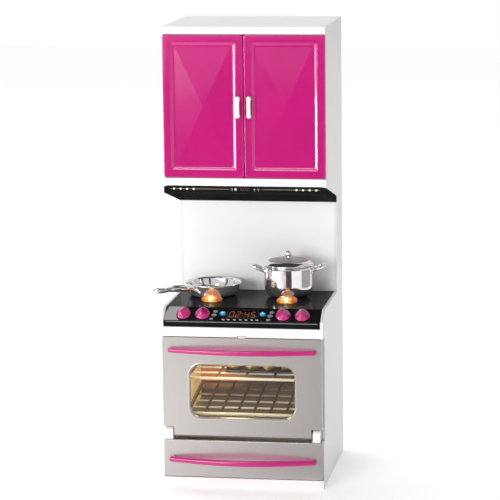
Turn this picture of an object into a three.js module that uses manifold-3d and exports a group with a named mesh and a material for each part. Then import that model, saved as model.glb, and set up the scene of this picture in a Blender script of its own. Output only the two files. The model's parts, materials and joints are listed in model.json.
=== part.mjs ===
// Toy kitchen for dolls: one upright unit with a cupboard above, a cooktop in the middle,
// an oven and a drawer below, and a frying pan and a lidded pot that stand on the cooktop.
// Millimetres. +X right, -Y front, +Z up. The origin is the centre of the footprint.
import * as THREE from "three";
import { mergeVertices } from "three/addons/utils/BufferGeometryUtils.js";
import Module from "manifold-3d";

const wasm = await Module();
wasm.setup();

// ---- driving dimensions -------------------------------------------------------------
const WIDTH = 113.8;
const HEIGHT = 320;
const LOWER_DEPTH = 112;
const UPPER_DEPTH = 91;
const COLUMN_DEPTH = 32;
const WALL = 2;
const GAP = 0.3;

const BACK = LOWER_DEPTH / 2;
const LOWER_FRONT = BACK - LOWER_DEPTH;
const UPPER_FRONT = BACK - UPPER_DEPTH;
const COLUMN_FRONT = BACK - COLUMN_DEPTH;
const HALF = WIDTH / 2;
const INNER = HALF - WALL - GAP;

const CUPBOARD = { floor: 215, top: 315, railUnder: 209.7, shelf: 262 };
const HOOD = { stripTop: 209.1, stripBottom: 204.5, wallTop: 194.7, wallBottom: 190.1, pocket: 1.8 };
const COOKTOP = { top: 125.5, crest: 118.4, lip: 114, breakY: LOWER_FRONT + 12.5, skin: 2 };
const RAIL_BOTTOM = 106.9;
const LATCH_HALF = 2.4;
const OVEN = { top: 106.4, wideBottom: 42.6, bottom: 35.1, thick: 8, half: 55.9, neck: 48.4 };
const WINDOW = { half: 37.7, low: 48.5, high: 87.7, corner: 9 };
const HINGE = { y: LOWER_FRONT + 4, z: 38, lug: 3.9, pin: 1 };
const CAVITY = { half: 43, low: 45.5, high: 100, skin: 1.5 };
const DRAWER = { top: 33.1, bottom: 6.6, skin: 3, trayHalf: 51, trayDepth: 62 };
const UPPER_DOOR = { thick: 3, pivotIn: 1.7, low: 215.3, high: 314.7 };
const KNOB = { across: 10.5, base: 2, tall: 4.8, xs: [-41.4, -28, 28.6, 42] };
const BUTTON = { x: 14, long: 5.2, wide: 3.8, proud: 1.2 };
const BURNER = { x: 26.8, y: BACK - 74.5, radius: 7.8, proud: 0.25, flame: 4.2 };
const PAN = { x: -29.3, y: BACK - 54.8, rim: 20.2, foot: 14.6, tall: 9.2, handle: 235 };
const POT = { x: 24.8, y: BACK - 53, radius: 17.2, tall: 21.8, turn: 8 };
const CELL = { radius: 7.1, long: 49.5, z: [147, 163] };
const SLOPE = Math.atan2(COOKTOP.top - COOKTOP.crest, COOKTOP.breakY - LOWER_FRONT);
const REST = COOKTOP.top + BURNER.proud + GAP;

// ---- materials ----------------------------------------------------------------------
function paint(color, roughness, metalness = 0) {
  return new THREE.MeshStandardMaterial({ color, roughness, metalness });
}
const WHITE = () => paint(0xf7f6f3, 0.35);
const MAGENTA = () => paint(0xc9267f, 0.2);
const BLACK = () => paint(0x1a1a1b, 0.12);
const SILVER = () => paint(0xbdb8b5, 0.35, 0.6);
const CHROME = () => paint(0xe4e4e6, 0.08, 1);
const AMBER = () => paint(0xffa63a, 0.3);

// ---- geometry helpers ---------------------------------------------------------------
function solid(geometry) {
  geometry.deleteAttribute("normal");
  geometry.deleteAttribute("uv");
  const merged = mergeVertices(geometry, 1e-4);
  return new wasm.Manifold(
    new wasm.Mesh({
      numProp: 3,
      vertProperties: merged.attributes.position.array,
      triVerts: new Uint32Array(merged.index.array),
    }),
  );
}

function toGeometry(body) {
  const m = body.getMesh();
  const geometry = new THREE.BufferGeometry();
  geometry.setAttribute("position", new THREE.BufferAttribute(m.vertProperties, 3));
  geometry.setIndex(new THREE.BufferAttribute(m.triVerts, 1));
  geometry.computeVertexNormals();
  return geometry;
}

const group = new THREE.Group();

function add(name, body, material) {
  const mesh = new THREE.Mesh(toGeometry(body), material);
  mesh.name = name;
  group.add(mesh);
  return mesh;
}

function box(x0, x1, y0, y1, z0, z1) {
  const g = new THREE.BoxGeometry(x1 - x0, y1 - y0, z1 - z0);
  g.translate((x0 + x1) / 2, (y0 + y1) / 2, (z0 + z1) / 2);
  return solid(g);
}

function union(bodies) {
  return bodies.reduce((a, b) => a.add(b));
}

// A closed outline of [y, z] points, drawn out along X.
function alongX(points, x0, x1) {
  const shape = new THREE.Shape(points.map(([y, z]) => new THREE.Vector2(y, z)));
  const g = new THREE.ExtrudeGeometry(shape, { depth: x1 - x0, bevelEnabled: false });
  g.applyMatrix4(new THREE.Matrix4().set(0, 0, 1, x0, 1, 0, 0, 0, 0, 1, 0, 0, 0, 0, 0, 1));
  return solid(g);
}

// A shape in (x, z), drawn out along Y.
function alongY(shape, y0, y1, curveSegments = 3) {
  const g = new THREE.ExtrudeGeometry(shape, {
    depth: y1 - y0,
    bevelEnabled: false,
    curveSegments,
  });
  g.applyMatrix4(new THREE.Matrix4().set(1, 0, 0, 0, 0, 0, -1, y1, 0, 1, 0, 0, 0, 0, 0, 1));
  return solid(g);
}

function roundedRect(x0, x1, z0, z1, r) {
  const s = new THREE.Shape();
  s.moveTo(x0 + r, z0);
  s.lineTo(x1 - r, z0);
  s.absarc(x1 - r, z0 + r, r, -Math.PI / 2, 0);
  s.lineTo(x1, z1 - r);
  s.absarc(x1 - r, z1 - r, r, 0, Math.PI / 2);
  s.lineTo(x0 + r, z1);
  s.absarc(x0 + r, z1 - r, r, Math.PI / 2, Math.PI);
  s.lineTo(x0, z0 + r);
  s.absarc(x0 + r, z0 + r, r, Math.PI, Math.PI * 1.5);
  return s;
}

// A closed profile of [radius, height] points turned about a vertical line through (x, y).
function turned(profile, x, y, z, sides = 28) {
  const points = profile.map(([r, h]) => new THREE.Vector2(r, h));
  const g = new THREE.LatheGeometry(points, sides);
  g.rotateX(Math.PI / 2);
  g.translate(x, y, z);
  return solid(g);
}

function rod(axis, radius, from, to, a, b, sides = 12) {
  const g = new THREE.CylinderGeometry(radius, radius, to - from, sides);
  const mid = (from + to) / 2;
  if (axis === "x") g.rotateZ(Math.PI / 2).translate(mid, a, b);
  if (axis === "y") g.translate(a, mid, b);
  if (axis === "z") g.rotateX(Math.PI / 2).translate(a, b, mid);
  return solid(g);
}

// A round bar along a smooth curve through the points.
function bar(points, radius, steps, sides = 8, scale = 1) {
  const curve = new THREE.CatmullRomCurve3(points.map((p) => new THREE.Vector3(...p)));
  const section = new THREE.Shape();
  for (let i = 0; i < sides; i++) {
    const a = (i / sides) * Math.PI * 2;
    const point = [radius * Math.cos(a), radius * scale * Math.sin(a)];
    if (i) section.lineTo(...point);
    else section.moveTo(...point);
  }
  section.closePath();
  const g = new THREE.ExtrudeGeometry(section, { steps, extrudePath: curve, bevelEnabled: false });
  return solid(g);
}

// A point on the sloping control panel: x across, a distance down from the break, a height out.
function onPanel(down, out) {
  const y = COOKTOP.breakY - down * Math.cos(SLOPE) - out * Math.sin(SLOPE);
  const z = COOKTOP.top - down * Math.sin(SLOPE) + out * Math.cos(SLOPE);
  return [y, z];
}

// Stands a piece that was made upright at the origin on the control panel.
function standOnPanel(geometry, x, down, out) {
  const [y, z] = onPanel(down, out);
  geometry.rotateX(SLOPE);
  geometry.translate(x, y, z);
  return solid(geometry);
}

// ---- cabinet ------------------------------------------------------------------------
function sidePanels() {
  const behindDoor = LOWER_FRONT + OVEN.thick + GAP;
  const behindDrawer = LOWER_FRONT + DRAWER.skin + GAP;
  const behindUpper = UPPER_FRONT + UPPER_DOOR.thick + GAP;
  const outline = [
    [BACK, 0],
    [LOWER_FRONT, 0],
    [LOWER_FRONT, DRAWER.bottom - GAP],
    [behindDrawer, DRAWER.bottom - GAP],
    [behindDrawer, DRAWER.top + GAP],
    [behindDoor, DRAWER.top + GAP],
    [behindDoor, OVEN.top + GAP],
    [LOWER_FRONT, OVEN.top + GAP],
    [LOWER_FRONT, COOKTOP.crest],
    [COOKTOP.breakY, COOKTOP.top],
    [COLUMN_FRONT, COOKTOP.top],
    [COLUMN_FRONT, HOOD.wallTop + GAP],
    [UPPER_FRONT, HOOD.stripTop + GAP],
    [UPPER_FRONT, CUPBOARD.floor],
    [behindUpper, CUPBOARD.floor],
    [behindUpper, CUPBOARD.top],
    [UPPER_FRONT, CUPBOARD.top],
    [UPPER_FRONT, HEIGHT],
    [BACK, HEIGHT],
  ];
  add("left_side_panel", alongX(outline, -HALF, -HALF + WALL).subtract(pinHoles()), WHITE());
  add("right_side_panel", alongX(outline, HALF - WALL, HALF).subtract(pinHoles()), WHITE());
}

function topPanel() {
  const lipBack = UPPER_FRONT + UPPER_DOOR.thick;
  const under = HEIGHT - WALL;
  const body = alongX(
    [
      [BACK - WALL - GAP, under],
      [lipBack, under],
      [lipBack, CUPBOARD.top],
      [UPPER_FRONT, CUPBOARD.top],
      [UPPER_FRONT, HEIGHT],
      [BACK - WALL - GAP, HEIGHT],
    ],
    -INNER,
    INNER,
  );
  add("top_panel", body.subtract(pinHoles()), WHITE());
}

function cupboardFloor() {
  const lipBack = UPPER_FRONT + UPPER_DOOR.thick;
  const under = CUPBOARD.floor - WALL;
  const body = alongX(
    [
      [COLUMN_FRONT - GAP, under],
      [lipBack, under],
      [lipBack, CUPBOARD.railUnder],
      [UPPER_FRONT, CUPBOARD.railUnder],
      [UPPER_FRONT, CUPBOARD.floor],
      [COLUMN_FRONT - GAP, CUPBOARD.floor],
    ],
    -INNER,
    INNER,
  );
  add("cupboard_floor", body.subtract(pinHoles()), WHITE());
}

function cupboardShelf() {
  const front = UPPER_FRONT + 9;
  const z = CUPBOARD.shelf;
  add("cupboard_shelf", box(-INNER, INNER, front, COLUMN_FRONT - GAP, z, z + WALL), WHITE());
}

function innerBackPanel() {
  const y0 = COLUMN_FRONT;
  const y1 = COLUMN_FRONT + WALL;
  const plate = box(-INNER, INNER, y0, y1, WALL + GAP, HEIGHT - WALL - GAP);
  const leadHole = rod("y", 2.6, y0 - 1, y1 + 1, LEAD.x, LEAD.holeZ);
  add("inner_back_panel", plate.subtract(leadHole), WHITE());
}

function basePlate() {
  const plate = box(-INNER, INNER, LOWER_FRONT + WALL, BACK - WALL - GAP, 0, WALL);
  const plinth = box(-INNER, INNER, LOWER_FRONT, LOWER_FRONT + WALL, 0, DRAWER.bottom - GAP);
  const runners = [];
  for (const s of [-1, 1]) {
    const edge = s * INNER;
    const guide = s * (DRAWER.trayHalf + GAP);
    const ledge = s * (DRAWER.trayHalf - 5);
    runners.push(box(Math.min(guide, edge), Math.max(guide, edge), -50, 22, WALL / 2, 15));
    runners.push(box(Math.min(ledge, edge), Math.max(ledge, edge), -50, 22, WALL / 2, 7));
  }
  add("base_plate", union([plate, plinth, ...runners]), WHITE());
}

const BATTERY_DOOR = { half: 30, low: 137, high: 174 };
const SWITCH = { x: 42, z: 155, half: 4.5, tall: 5 };
const LEAD = { x: 20, holeZ: 112, radius: 0.9 };
const SPEAKER = { x: 0, z: 80, radius: 14, deep: 8 };
const SCREW = { x: 47, zs: [16, 300], radius: 2.4, shank: 1.1, sink: 1.3 };

function rearCover() {
  const y0 = BACK - WALL;
  const y1 = BACK;
  const through = (shape) => alongY(shape, y0 - 1, y1 + 1, 2);
  let plate = box(-INNER, INNER, y0, y1, 0, HEIGHT);
  const d = BATTERY_DOOR;
  plate = plate.subtract(through(roundedRect(-d.half, d.half, d.low, d.high, 2)));
  const s = SWITCH;
  const slot = box(s.x - s.half, s.x + s.half, y0 - 1, y1 + 1, s.z - s.tall / 2, s.z + s.tall / 2);
  plate = plate.subtract(slot);
  for (const [ring, count] of [[0, 1], [7, 6]]) {
    for (let i = 0; i < count; i++) {
      const a = (i / count) * Math.PI * 2;
      const x = SPEAKER.x + ring * Math.cos(a);
      const z = SPEAKER.z + ring * Math.sin(a);
      plate = plate.subtract(rod("y", 1.3, y0 - 1, y1 + 1, x, z, 8));
    }
  }
  for (const x of [-SCREW.x, SCREW.x]) {
    for (const z of SCREW.zs) {
      plate = plate.subtract(rod("y", SCREW.shank + GAP, y0 - 1, y1 + 1, x, z, 8));
      plate = plate.subtract(rod("y", SCREW.radius + GAP, y1 - SCREW.sink, y1 + 1, x, z, 14));
    }
  }
  add("rear_cover", plate, WHITE());
}

// A cross-slot screw sunk in the back face.
function screw(x, z, long) {
  const face = BACK - 0.1;
  const head = rod("y", SCREW.radius, BACK - SCREW.sink + 0.2, face, x, z, 12);
  const shank = rod("y", SCREW.shank, BACK - long, face - 0.4, x, z, 8);
  const slot = box(x - 1.5, x + 1.5, face - 0.4, face + 1, z - 0.3, z + 0.3);
  return head.add(shank).subtract(slot);
}

function rearScrews() {
  const sides = { left: -SCREW.x, right: SCREW.x };
  const levels = { bottom: SCREW.zs[0], top: SCREW.zs[1] };
  for (const [side, x] of Object.entries(sides)) {
    for (const [level, z] of Object.entries(levels)) {
      add("rear_screw_" + level + "_" + side, screw(x, z, 9), paint(0xa9a9ab, 0.3, 0.9));
    }
  }
}

// ---- cupboard doors -----------------------------------------------------------------
const DOOR_Y = UPPER_FRONT + UPPER_DOOR.thick / 2;
const PIVOT_X = HALF - UPPER_DOOR.pivotIn;
const PIN = { radius: 0.7, reach: 1.6, hole: 1 };

function pinHoles() {
  const span = [CUPBOARD.floor - 2.2, CUPBOARD.top + 2.2];
  return union([-PIVOT_X, PIVOT_X].map((x) => rod("z", PIN.hole, ...span, x, DOOR_Y, 8)));
}

function cupboardDoor(side, sign) {
  const inner = 0.4;
  const y0 = UPPER_FRONT;
  const y1 = UPPER_FRONT + UPPER_DOOR.thick;
  const low = UPPER_DOOR.low;
  const high = UPPER_DOOR.high;
  const place = (a, b) => [Math.min(sign * a, sign * b), Math.max(sign * a, sign * b)];
  const [x0, x1] = place(inner, PIVOT_X);
  const slab = box(x0, x1, y0, y1, low, high);
  const edge = rod("z", UPPER_DOOR.thick / 2, low, high, sign * PIVOT_X, DOOR_Y, 16);
  const [f0, f1] = place(inner + 6.1, PIVOT_X - 5.3);
  const frame = [f0, f1, y0 - 1, y0 + 1, low + 5.6, high - 6];
  const field = box(...frame);
  const [p0, p1] = place(inner + 7.6, PIVOT_X - 6.8);
  const raised = box(p0, p1, y0 + 0.4, y0 + 1.5, low + 7.1, high - 7.5);
  const pins = rod("z", PIN.radius, low - PIN.reach, high + PIN.reach, sign * PIVOT_X, DOOR_Y, 8);
  const body = slab.add(edge).subtract(field).add(raised).add(pins);
  add("cupboard_door_" + side, body, MAGENTA());

  const x = sign * 3.9;
  const grip = bar(
    [
      [x, y0 - 2.1, 258.6],
      [x, y0 - 2.9, 262],
      [x, y0 - 3.1, 264.8],
      [x, y0 - 2.9, 267.6],
      [x, y0 - 2.1, 271],
    ],
    0.9,
    8,
    8,
  );
  const knuckles = [258.9, 270.7].map((z) => rod("y", 1.3, y0 - 3.2, y0 - 0.3, x, z, 10));
  add("cupboard_handle_" + side, union([grip, ...knuckles]), WHITE());
}

// ---- hood ---------------------------------------------------------------------------
const HOOD_DROP = (HOOD.stripBottom - HOOD.wallBottom) / (COLUMN_FRONT - UPPER_FRONT);

function hoodUnder(y) {
  return HOOD.stripBottom - (y - UPPER_FRONT) * HOOD_DROP;
}

function hood() {
  const back = COLUMN_FRONT - GAP;
  const body = alongX(
    [
      [UPPER_FRONT, HOOD.stripBottom],
      [UPPER_FRONT, HOOD.stripTop],
      [back, HOOD.wallTop],
      [back, HOOD.wallBottom],
    ],
    -HALF,
    HALF,
  );
  const f = { y0: UPPER_FRONT + 4, y1: back - 3, half: HALF - 4 };
  const layer = (inset, low, high) =>
    alongX(
      [
        [f.y0 + inset, hoodUnder(f.y0 + inset) + low],
        [f.y0 + inset, hoodUnder(f.y0 + inset) + high],
        [f.y1 - inset, hoodUnder(f.y1 - inset) + high],
        [f.y1 - inset, hoodUnder(f.y1 - inset) + low],
      ],
      -f.half + inset,
      f.half - inset,
    );
  add("hood", body.subtract(layer(0, -2, HOOD.pocket)), BLACK());
  const filter = layer(GAP, HOOD.pocket - GAP - 1, HOOD.pocket - GAP);
  add("hood_filter", filter, paint(0x2c2c2d, 0.4));
}

// ---- cooktop and controls -----------------------------------------------------------
function panelHole(x, down, radius) {
  const drill = new THREE.CylinderGeometry(radius, radius, 8, 12).rotateX(Math.PI / 2);
  return standOnPanel(drill, x, down, 0);
}

const PANEL_LONG = (COOKTOP.breakY - LOWER_FRONT) / Math.cos(SLOPE);
const KNOB_DOWN = PANEL_LONG * 0.57;
const BUTTON_DOWN = PANEL_LONG * 0.47;
const DISPLAY = { half: 10.8, deep: 6.4, down: 5.6 };
const BOARD_Z = 107;

function cooktop() {
  const t = COOKTOP.skin;
  const back = COLUMN_FRONT - GAP;
  const body = alongX(
    [
      [back, COOKTOP.top],
      [COOKTOP.breakY, COOKTOP.top],
      [LOWER_FRONT, COOKTOP.crest],
      [LOWER_FRONT, COOKTOP.lip],
      [LOWER_FRONT + t, COOKTOP.lip],
      [LOWER_FRONT + t, COOKTOP.crest - t * 0.6],
      [COOKTOP.breakY + t * 0.3, COOKTOP.top - t],
      [back, COOKTOP.top - t],
    ],
    -INNER,
    INNER,
  );
  const cuts = KNOB.xs.map((x) => panelHole(x, KNOB_DOWN, 1.6));
  for (const x of [-BUTTON.x, BUTTON.x]) {
    const slot = new THREE.BoxGeometry(BUTTON.long + 2 * GAP, BUTTON.wide + 2 * GAP, 8);
    cuts.push(standOnPanel(slot, x, BUTTON_DOWN, 0));
  }
  for (const x of [-BURNER.x, BURNER.x]) {
    cuts.push(rod("z", BURNER.radius - 1, 120, 130, x, BURNER.y, 20));
  }
  const recess = new THREE.BoxGeometry(2 * DISPLAY.half, DISPLAY.deep, 1.6);
  cuts.push(standOnPanel(recess, 0, DISPLAY.down, 0));
  add("cooktop", body.subtract(union(cuts)), BLACK());
}

function clockDisplay() {
  const plate = new THREE.BoxGeometry(2 * (DISPLAY.half - GAP), DISPLAY.deep - 2 * GAP, 0.6);
  add("clock_display", standOnPanel(plate, 0, DISPLAY.down, -0.2), paint(0x3a1c0c, 0.15));
}

// A flat lens let into the cooktop, with a flame-shaped light pipe on its front half.
function burnerLights() {
  for (const [side, x] of [["left", -BURNER.x], ["right", BURNER.x]]) {
    const r = BURNER.radius;
    const lens = [
      [0, -3.5],
      [r - 1.3, -3.5],
      [r - 1.3, 0.05],
      [r, 0.05],
      [r, BURNER.proud],
      [0, BURNER.proud],
    ];
    const flame = [
      [0, 0],
      [3.2, 0],
      [2.6, BURNER.flame * 0.6],
      [0, BURNER.flame],
    ];
    const body = turned(lens, x, BURNER.y, COOKTOP.top, 20);
    const tongues = [-3.4, 0, 3.4].map((dx) => {
      const back = dx ? 3.6 : 4.2;
      return turned(flame, x + dx, BURNER.y - back, COOKTOP.top, 8);
    });
    add("burner_light_" + side, union([body, ...tongues]), AMBER());
  }
}

function knobs() {
  KNOB.xs.forEach((x, i) => {
    const r = KNOB.across / 2;
    const skirt = new THREE.CylinderGeometry(r - 0.5, r, KNOB.base, 20).rotateX(Math.PI / 2);
    skirt.translate(0, 0, GAP + KNOB.base / 2);
    const grip = new THREE.Shape();
    grip.moveTo(-r + 1.2, 0);
    grip.lineTo(r - 1.2, 0);
    grip.lineTo(1.1, KNOB.tall - KNOB.base + 0.5);
    grip.lineTo(-1.1, KNOB.tall - KNOB.base + 0.5);
    grip.closePath();
    const ridge = new THREE.ExtrudeGeometry(grip, { depth: 2 * r - 2, bevelEnabled: false });
    ridge.rotateX(Math.PI / 2);
    ridge.translate(0, r - 1, GAP + KNOB.base - 0.5);
    const shaft = new THREE.CylinderGeometry(1.2, 1.2, 6, 10).rotateX(Math.PI / 2);
    shaft.translate(0, 0, -2.2);
    const collar = new THREE.CylinderGeometry(2.4, 2.4, 1, 12).rotateX(Math.PI / 2);
    collar.translate(0, 0, -4.2);
    const parts = [skirt, ridge, shaft, collar].map((g) => standOnPanel(g, x, KNOB_DOWN, 0));
    add("knob_" + (i + 1), union(parts), MAGENTA());
  });
}

function buttons() {
  for (const [side, x] of [["left", -BUTTON.x], ["right", BUTTON.x]]) {
    const cap = new THREE.BoxGeometry(BUTTON.long, BUTTON.wide, BUTTON.proud + 3.4);
    cap.translate(0, 0, (BUTTON.proud - 3.4) / 2);
    const flange = new THREE.BoxGeometry(BUTTON.long + 2, BUTTON.wide + 1.6, 0.8);
    flange.translate(0, 0, -3);
    const parts = [cap, flange].map((g) => standOnPanel(g, x, BUTTON_DOWN, 0));
    add("light_button_" + side, union(parts), paint(0x2f9bd8, 0.25));
  }
}

function controlRail() {
  const z1 = COOKTOP.lip - GAP;
  const rail = box(-INNER, INNER, LOWER_FRONT, LOWER_FRONT + WALL, RAIL_BOTTOM, z1);
  const half = LATCH_HALF + 2 * GAP;
  const [y0, y1] = [LOWER_FRONT - 1, LOWER_FRONT + WALL + 1];
  const notch = box(-half, half, y0, y1, RAIL_BOTTOM - 1, RAIL_BOTTOM + 1);
  add("control_rail", rail.subtract(notch), WHITE());
}

// ---- electrics ----------------------------------------------------------------------
function circuitBoard() {
  const z = BOARD_Z;
  const board = box(-46, 46, -34, 14, z, z + 1.6);
  const chips = [
    [-30, -20, -12, -2, 2.2],
    [-4, 8, -8, 4, 1.6],
    [16, 22, -24, -14, 3],
    [30, 36, -6, 2, 4],
  ].map(([x0, x1, y0, y1, h]) => box(x0, x1, y0, y1, z + 1.2, z + 1.6 + h));
  const leds = [-BURNER.x, BURNER.x].map((x) => rod("z", 2.4, z + 1.2, z + 9.5, x, BURNER.y, 10));
  add("circuit_board", union([board, ...chips, ...leds]), paint(0x1f6b3a, 0.5));
}

function speaker() {
  const y = BACK - WALL - GAP;
  const s = SPEAKER;
  const can = rod("y", s.radius, y - 3, y, s.x, s.z, 24);
  const magnet = rod("y", s.radius * 0.6, y - s.deep, y - 2.5, s.x, s.z, 20);
  add("speaker", can.add(magnet), paint(0x3a3a3c, 0.5, 0.4));
}

function batteryBox() {
  const y0 = BACK - 20;
  const y1 = BACK - WALL - GAP;
  const d = BATTERY_DOOR;
  const shell = box(-d.half + 1, d.half - 1, y0, y1, d.low + 1.5, d.high - 1.5);
  const room = box(-d.half + 2.4, d.half - 2.4, y0 + 1.4, y1 + 1, d.low + 2.9, d.high - 2.9);
  add("battery_box", shell.subtract(room), paint(0xeeece8, 0.45));
  for (const [name, sign] of [["battery_contact_left", -1], ["battery_contact_right", 1]]) {
    const a = sign * (d.half - 2.7);
    const b = sign * (d.half - 3.1);
    const plate = box(Math.min(a, b), Math.max(a, b), y0 + 3, y1 - 2, d.low + 5, d.high - 5);
    add(name, plate, paint(0xc9b06a, 0.3, 0.9));
  }
}

function cells() {
  CELL.z.forEach((z, i) => {
    const sign = i ? -1 : 1;
    const y = BACK - 11;
    const can = rod("x", CELL.radius, -CELL.long / 2 + 1, CELL.long / 2 - 1, y, z, 20);
    const end = sign * (CELL.long / 2 - 1.2);
    const [a, b] = [end, end + sign * 1.6].sort((p, q) => p - q);
    const tip = rod("x", 2.6, a, b, y, z, 12);
    add("battery_cell_" + (i + 1), can.add(tip), paint(0x4a6b45, 0.35, 0.3));
  });
}

function batteryDoor() {
  const d = BATTERY_DOOR;
  const shape = roundedRect(-d.half + GAP, d.half - GAP, d.low + GAP, d.high - GAP, 1.8);
  let plate = alongY(shape, BACK - WALL, BACK, 2);
  const z = d.high - 4.5;
  plate = plate.subtract(rod("y", SCREW.shank + GAP, BACK - WALL - 1, BACK + 1, 0, z, 8));
  plate = plate.subtract(rod("y", SCREW.radius + GAP, BACK - SCREW.sink, BACK + 1, 0, z, 14));
  for (let i = 0; i < 4; i++) {
    const groove = d.low + 6 + i * 3;
    plate = plate.subtract(box(-6, 6, BACK - 0.6, BACK + 1, groove, groove + 1.2));
  }
  add("battery_door", plate, WHITE());
  add("battery_door_screw", screw(0, z, 2.2), paint(0xa9a9ab, 0.3, 0.9));
}

function powerSwitch() {
  const s = SWITCH;
  const x0 = s.x - s.half + GAP;
  const half = s.tall / 2 - GAP;
  const face = BACK - WALL;
  const knob = box(x0, x0 + 4, face - 1.5, BACK - 0.2, s.z - half, s.z + half);
  const foot = box(x0 - 1, x0 + 5, face - 2.6, face - 0.4, s.z - 3.6, s.z + 3.6);
  add("power_switch", knob.add(foot), paint(0x232324, 0.4));
}

function batteryLead() {
  const route = [
    [BACK - 12, BATTERY_DOOR.low + 0.6],
    [BACK - 13, 130],
    [BACK - 20, 118],
    [COLUMN_FRONT + 5, LEAD.holeZ + 0.3],
    [COLUMN_FRONT, LEAD.holeZ],
    [COLUMN_FRONT - 4, LEAD.holeZ - 0.4],
    [14, 110.2],
  ].map(([y, z]) => [LEAD.x, y, z]);
  add("battery_lead", bar(route, LEAD.radius, 24, 6), paint(0xb52a25, 0.5));
}

// ---- oven ---------------------------------------------------------------------------
function ovenLiner() {
  const c = CAVITY;
  const y0 = LOWER_FRONT + OVEN.thick + GAP;
  const back = COLUMN_FRONT - GAP;
  const flangeLow = OVEN.wideBottom + 0.2;
  const flange = box(-INNER, INNER, y0, y0 + c.skin, flangeLow, OVEN.top);
  const tub = box(-c.half - c.skin, c.half + c.skin, y0, back, c.low - c.skin, c.high + c.skin);
  const room = box(-c.half, c.half, y0 - 1, back - c.skin, c.low, c.high);
  const lampHole = rod("z", 4.3, c.high - 1, c.high + 3, 0, -6, 16);
  const posts = [];
  for (const x of [-38, 38]) {
    for (const y of [-28, 8]) {
      posts.push(box(x - 2, x + 2, y - 2, y + 2, c.high + c.skin / 2, BOARD_Z - GAP));
    }
  }
  const ledges = Object.values(RACKS).flatMap((rack) => rackLedges(rack));
  const shell = flange.add(tub).subtract(room).subtract(lampHole);
  add("oven_liner", union([shell, ...posts, ...ledges]), paint(0xb9b2a6, 0.35, 0.6));
}

function ovenLamp() {
  const profile = [
    [0, -2],
    [3.4, -1.2],
    [4, 0],
    [4, 3.6],
    [0, 3.6],
  ];
  add("oven_lamp", turned(profile, 0, -6, CAVITY.high, 16), AMBER());
}

// A wire rack: cross wires on long wires, rising a little towards the back.
const RACK = { half: 41.5, front: LOWER_FRONT + 12, back: 20, wire: 0.7 };
const RACKS = {
  upper: { z: 75, rise: 1, rows: 5, columns: 5 },
  lower: { z: 49.5, rise: 8, rows: 6, columns: 6 },
};

const FOOD = { x0: -16, x1: 34, y0: -34, y1: -14, trayTall: 1.6, tall: 8.4, rolls: 4 };

function rackLevel(rack, y) {
  return rack.z + (rack.rise * (y - RACK.front)) / (RACK.back - RACK.front);
}

// The ledges on the side walls that a rack lies on.
function rackLedges(rack) {
  const under = RACK.wire + GAP;
  const y0 = RACK.front;
  const y1 = RACK.back;
  const outline = [
    [y0, rackLevel(rack, y0) - under],
    [y0, rackLevel(rack, y0) - under - 1.2],
    [y1, rackLevel(rack, y1) - under - 1.2],
    [y1, rackLevel(rack, y1) - under],
  ];
  const inner = RACK.half - 1.2;
  const outer = CAVITY.half + CAVITY.skin / 2;
  return [alongX(outline, -outer, -inner), alongX(outline, inner, outer)];
}

function ovenRack(side, rack) {
  const { half, front, back, wire } = RACK;
  const { rows, columns, rise, z } = rack;
  const wires = [];
  for (let i = 0; i < rows; i++) {
    const y = front + ((back - front) * i) / (rows - 1);
    wires.push(box(-half, half, y - wire, y + wire, -wire, wire));
  }
  for (let i = 0; i < columns; i++) {
    const x = (half - 2 * wire) * ((2 * i) / (columns - 1) - 1);
    wires.push(box(x - wire, x + wire, front, back, -wire / 2, wire / 2));
  }
  const tilt = rise / (back - front);
  const shear = [1, 0, 0, 0, 0, 1, tilt, 0, 0, 0, 1, 0, 0, 0, z - tilt * front, 1];
  add("oven_rack_" + side, union(wires).transform(shear), paint(0xd8d2c4, 0.2, 0.9));
}

// A baking tray with a row of bread rolls moulded on it, resting on the upper rack.
function foodTray() {
  const f = FOOD;
  const z = RACKS.upper.z + RACKS.upper.rise + RACK.wire + GAP;
  const tray = box(f.x0, f.x1, f.y0, f.y1, z, z + f.trayTall);
  const long = (f.x1 - f.x0 - 2) / f.rolls;
  const rolls = [];
  for (let i = 0; i < f.rolls; i++) {
    const roll = new THREE.SphereGeometry(1, 14, 8);
    roll.scale(long * 0.53, (f.y1 - f.y0) * 0.44, f.tall - f.trayTall / 2);
    roll.translate(f.x0 + 1 + long * (i + 0.5), (f.y0 + f.y1) / 2, z + f.trayTall / 2);
    rolls.push(solid(roll));
  }
  const under = box(f.x0 - 9, f.x1 + 9, f.y0 - 9, f.y1 + 9, z - f.tall - 9, z);
  add("food_tray", union([tray, ...rolls]).subtract(under), paint(0x9c8a3c, 0.5));
}

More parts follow.
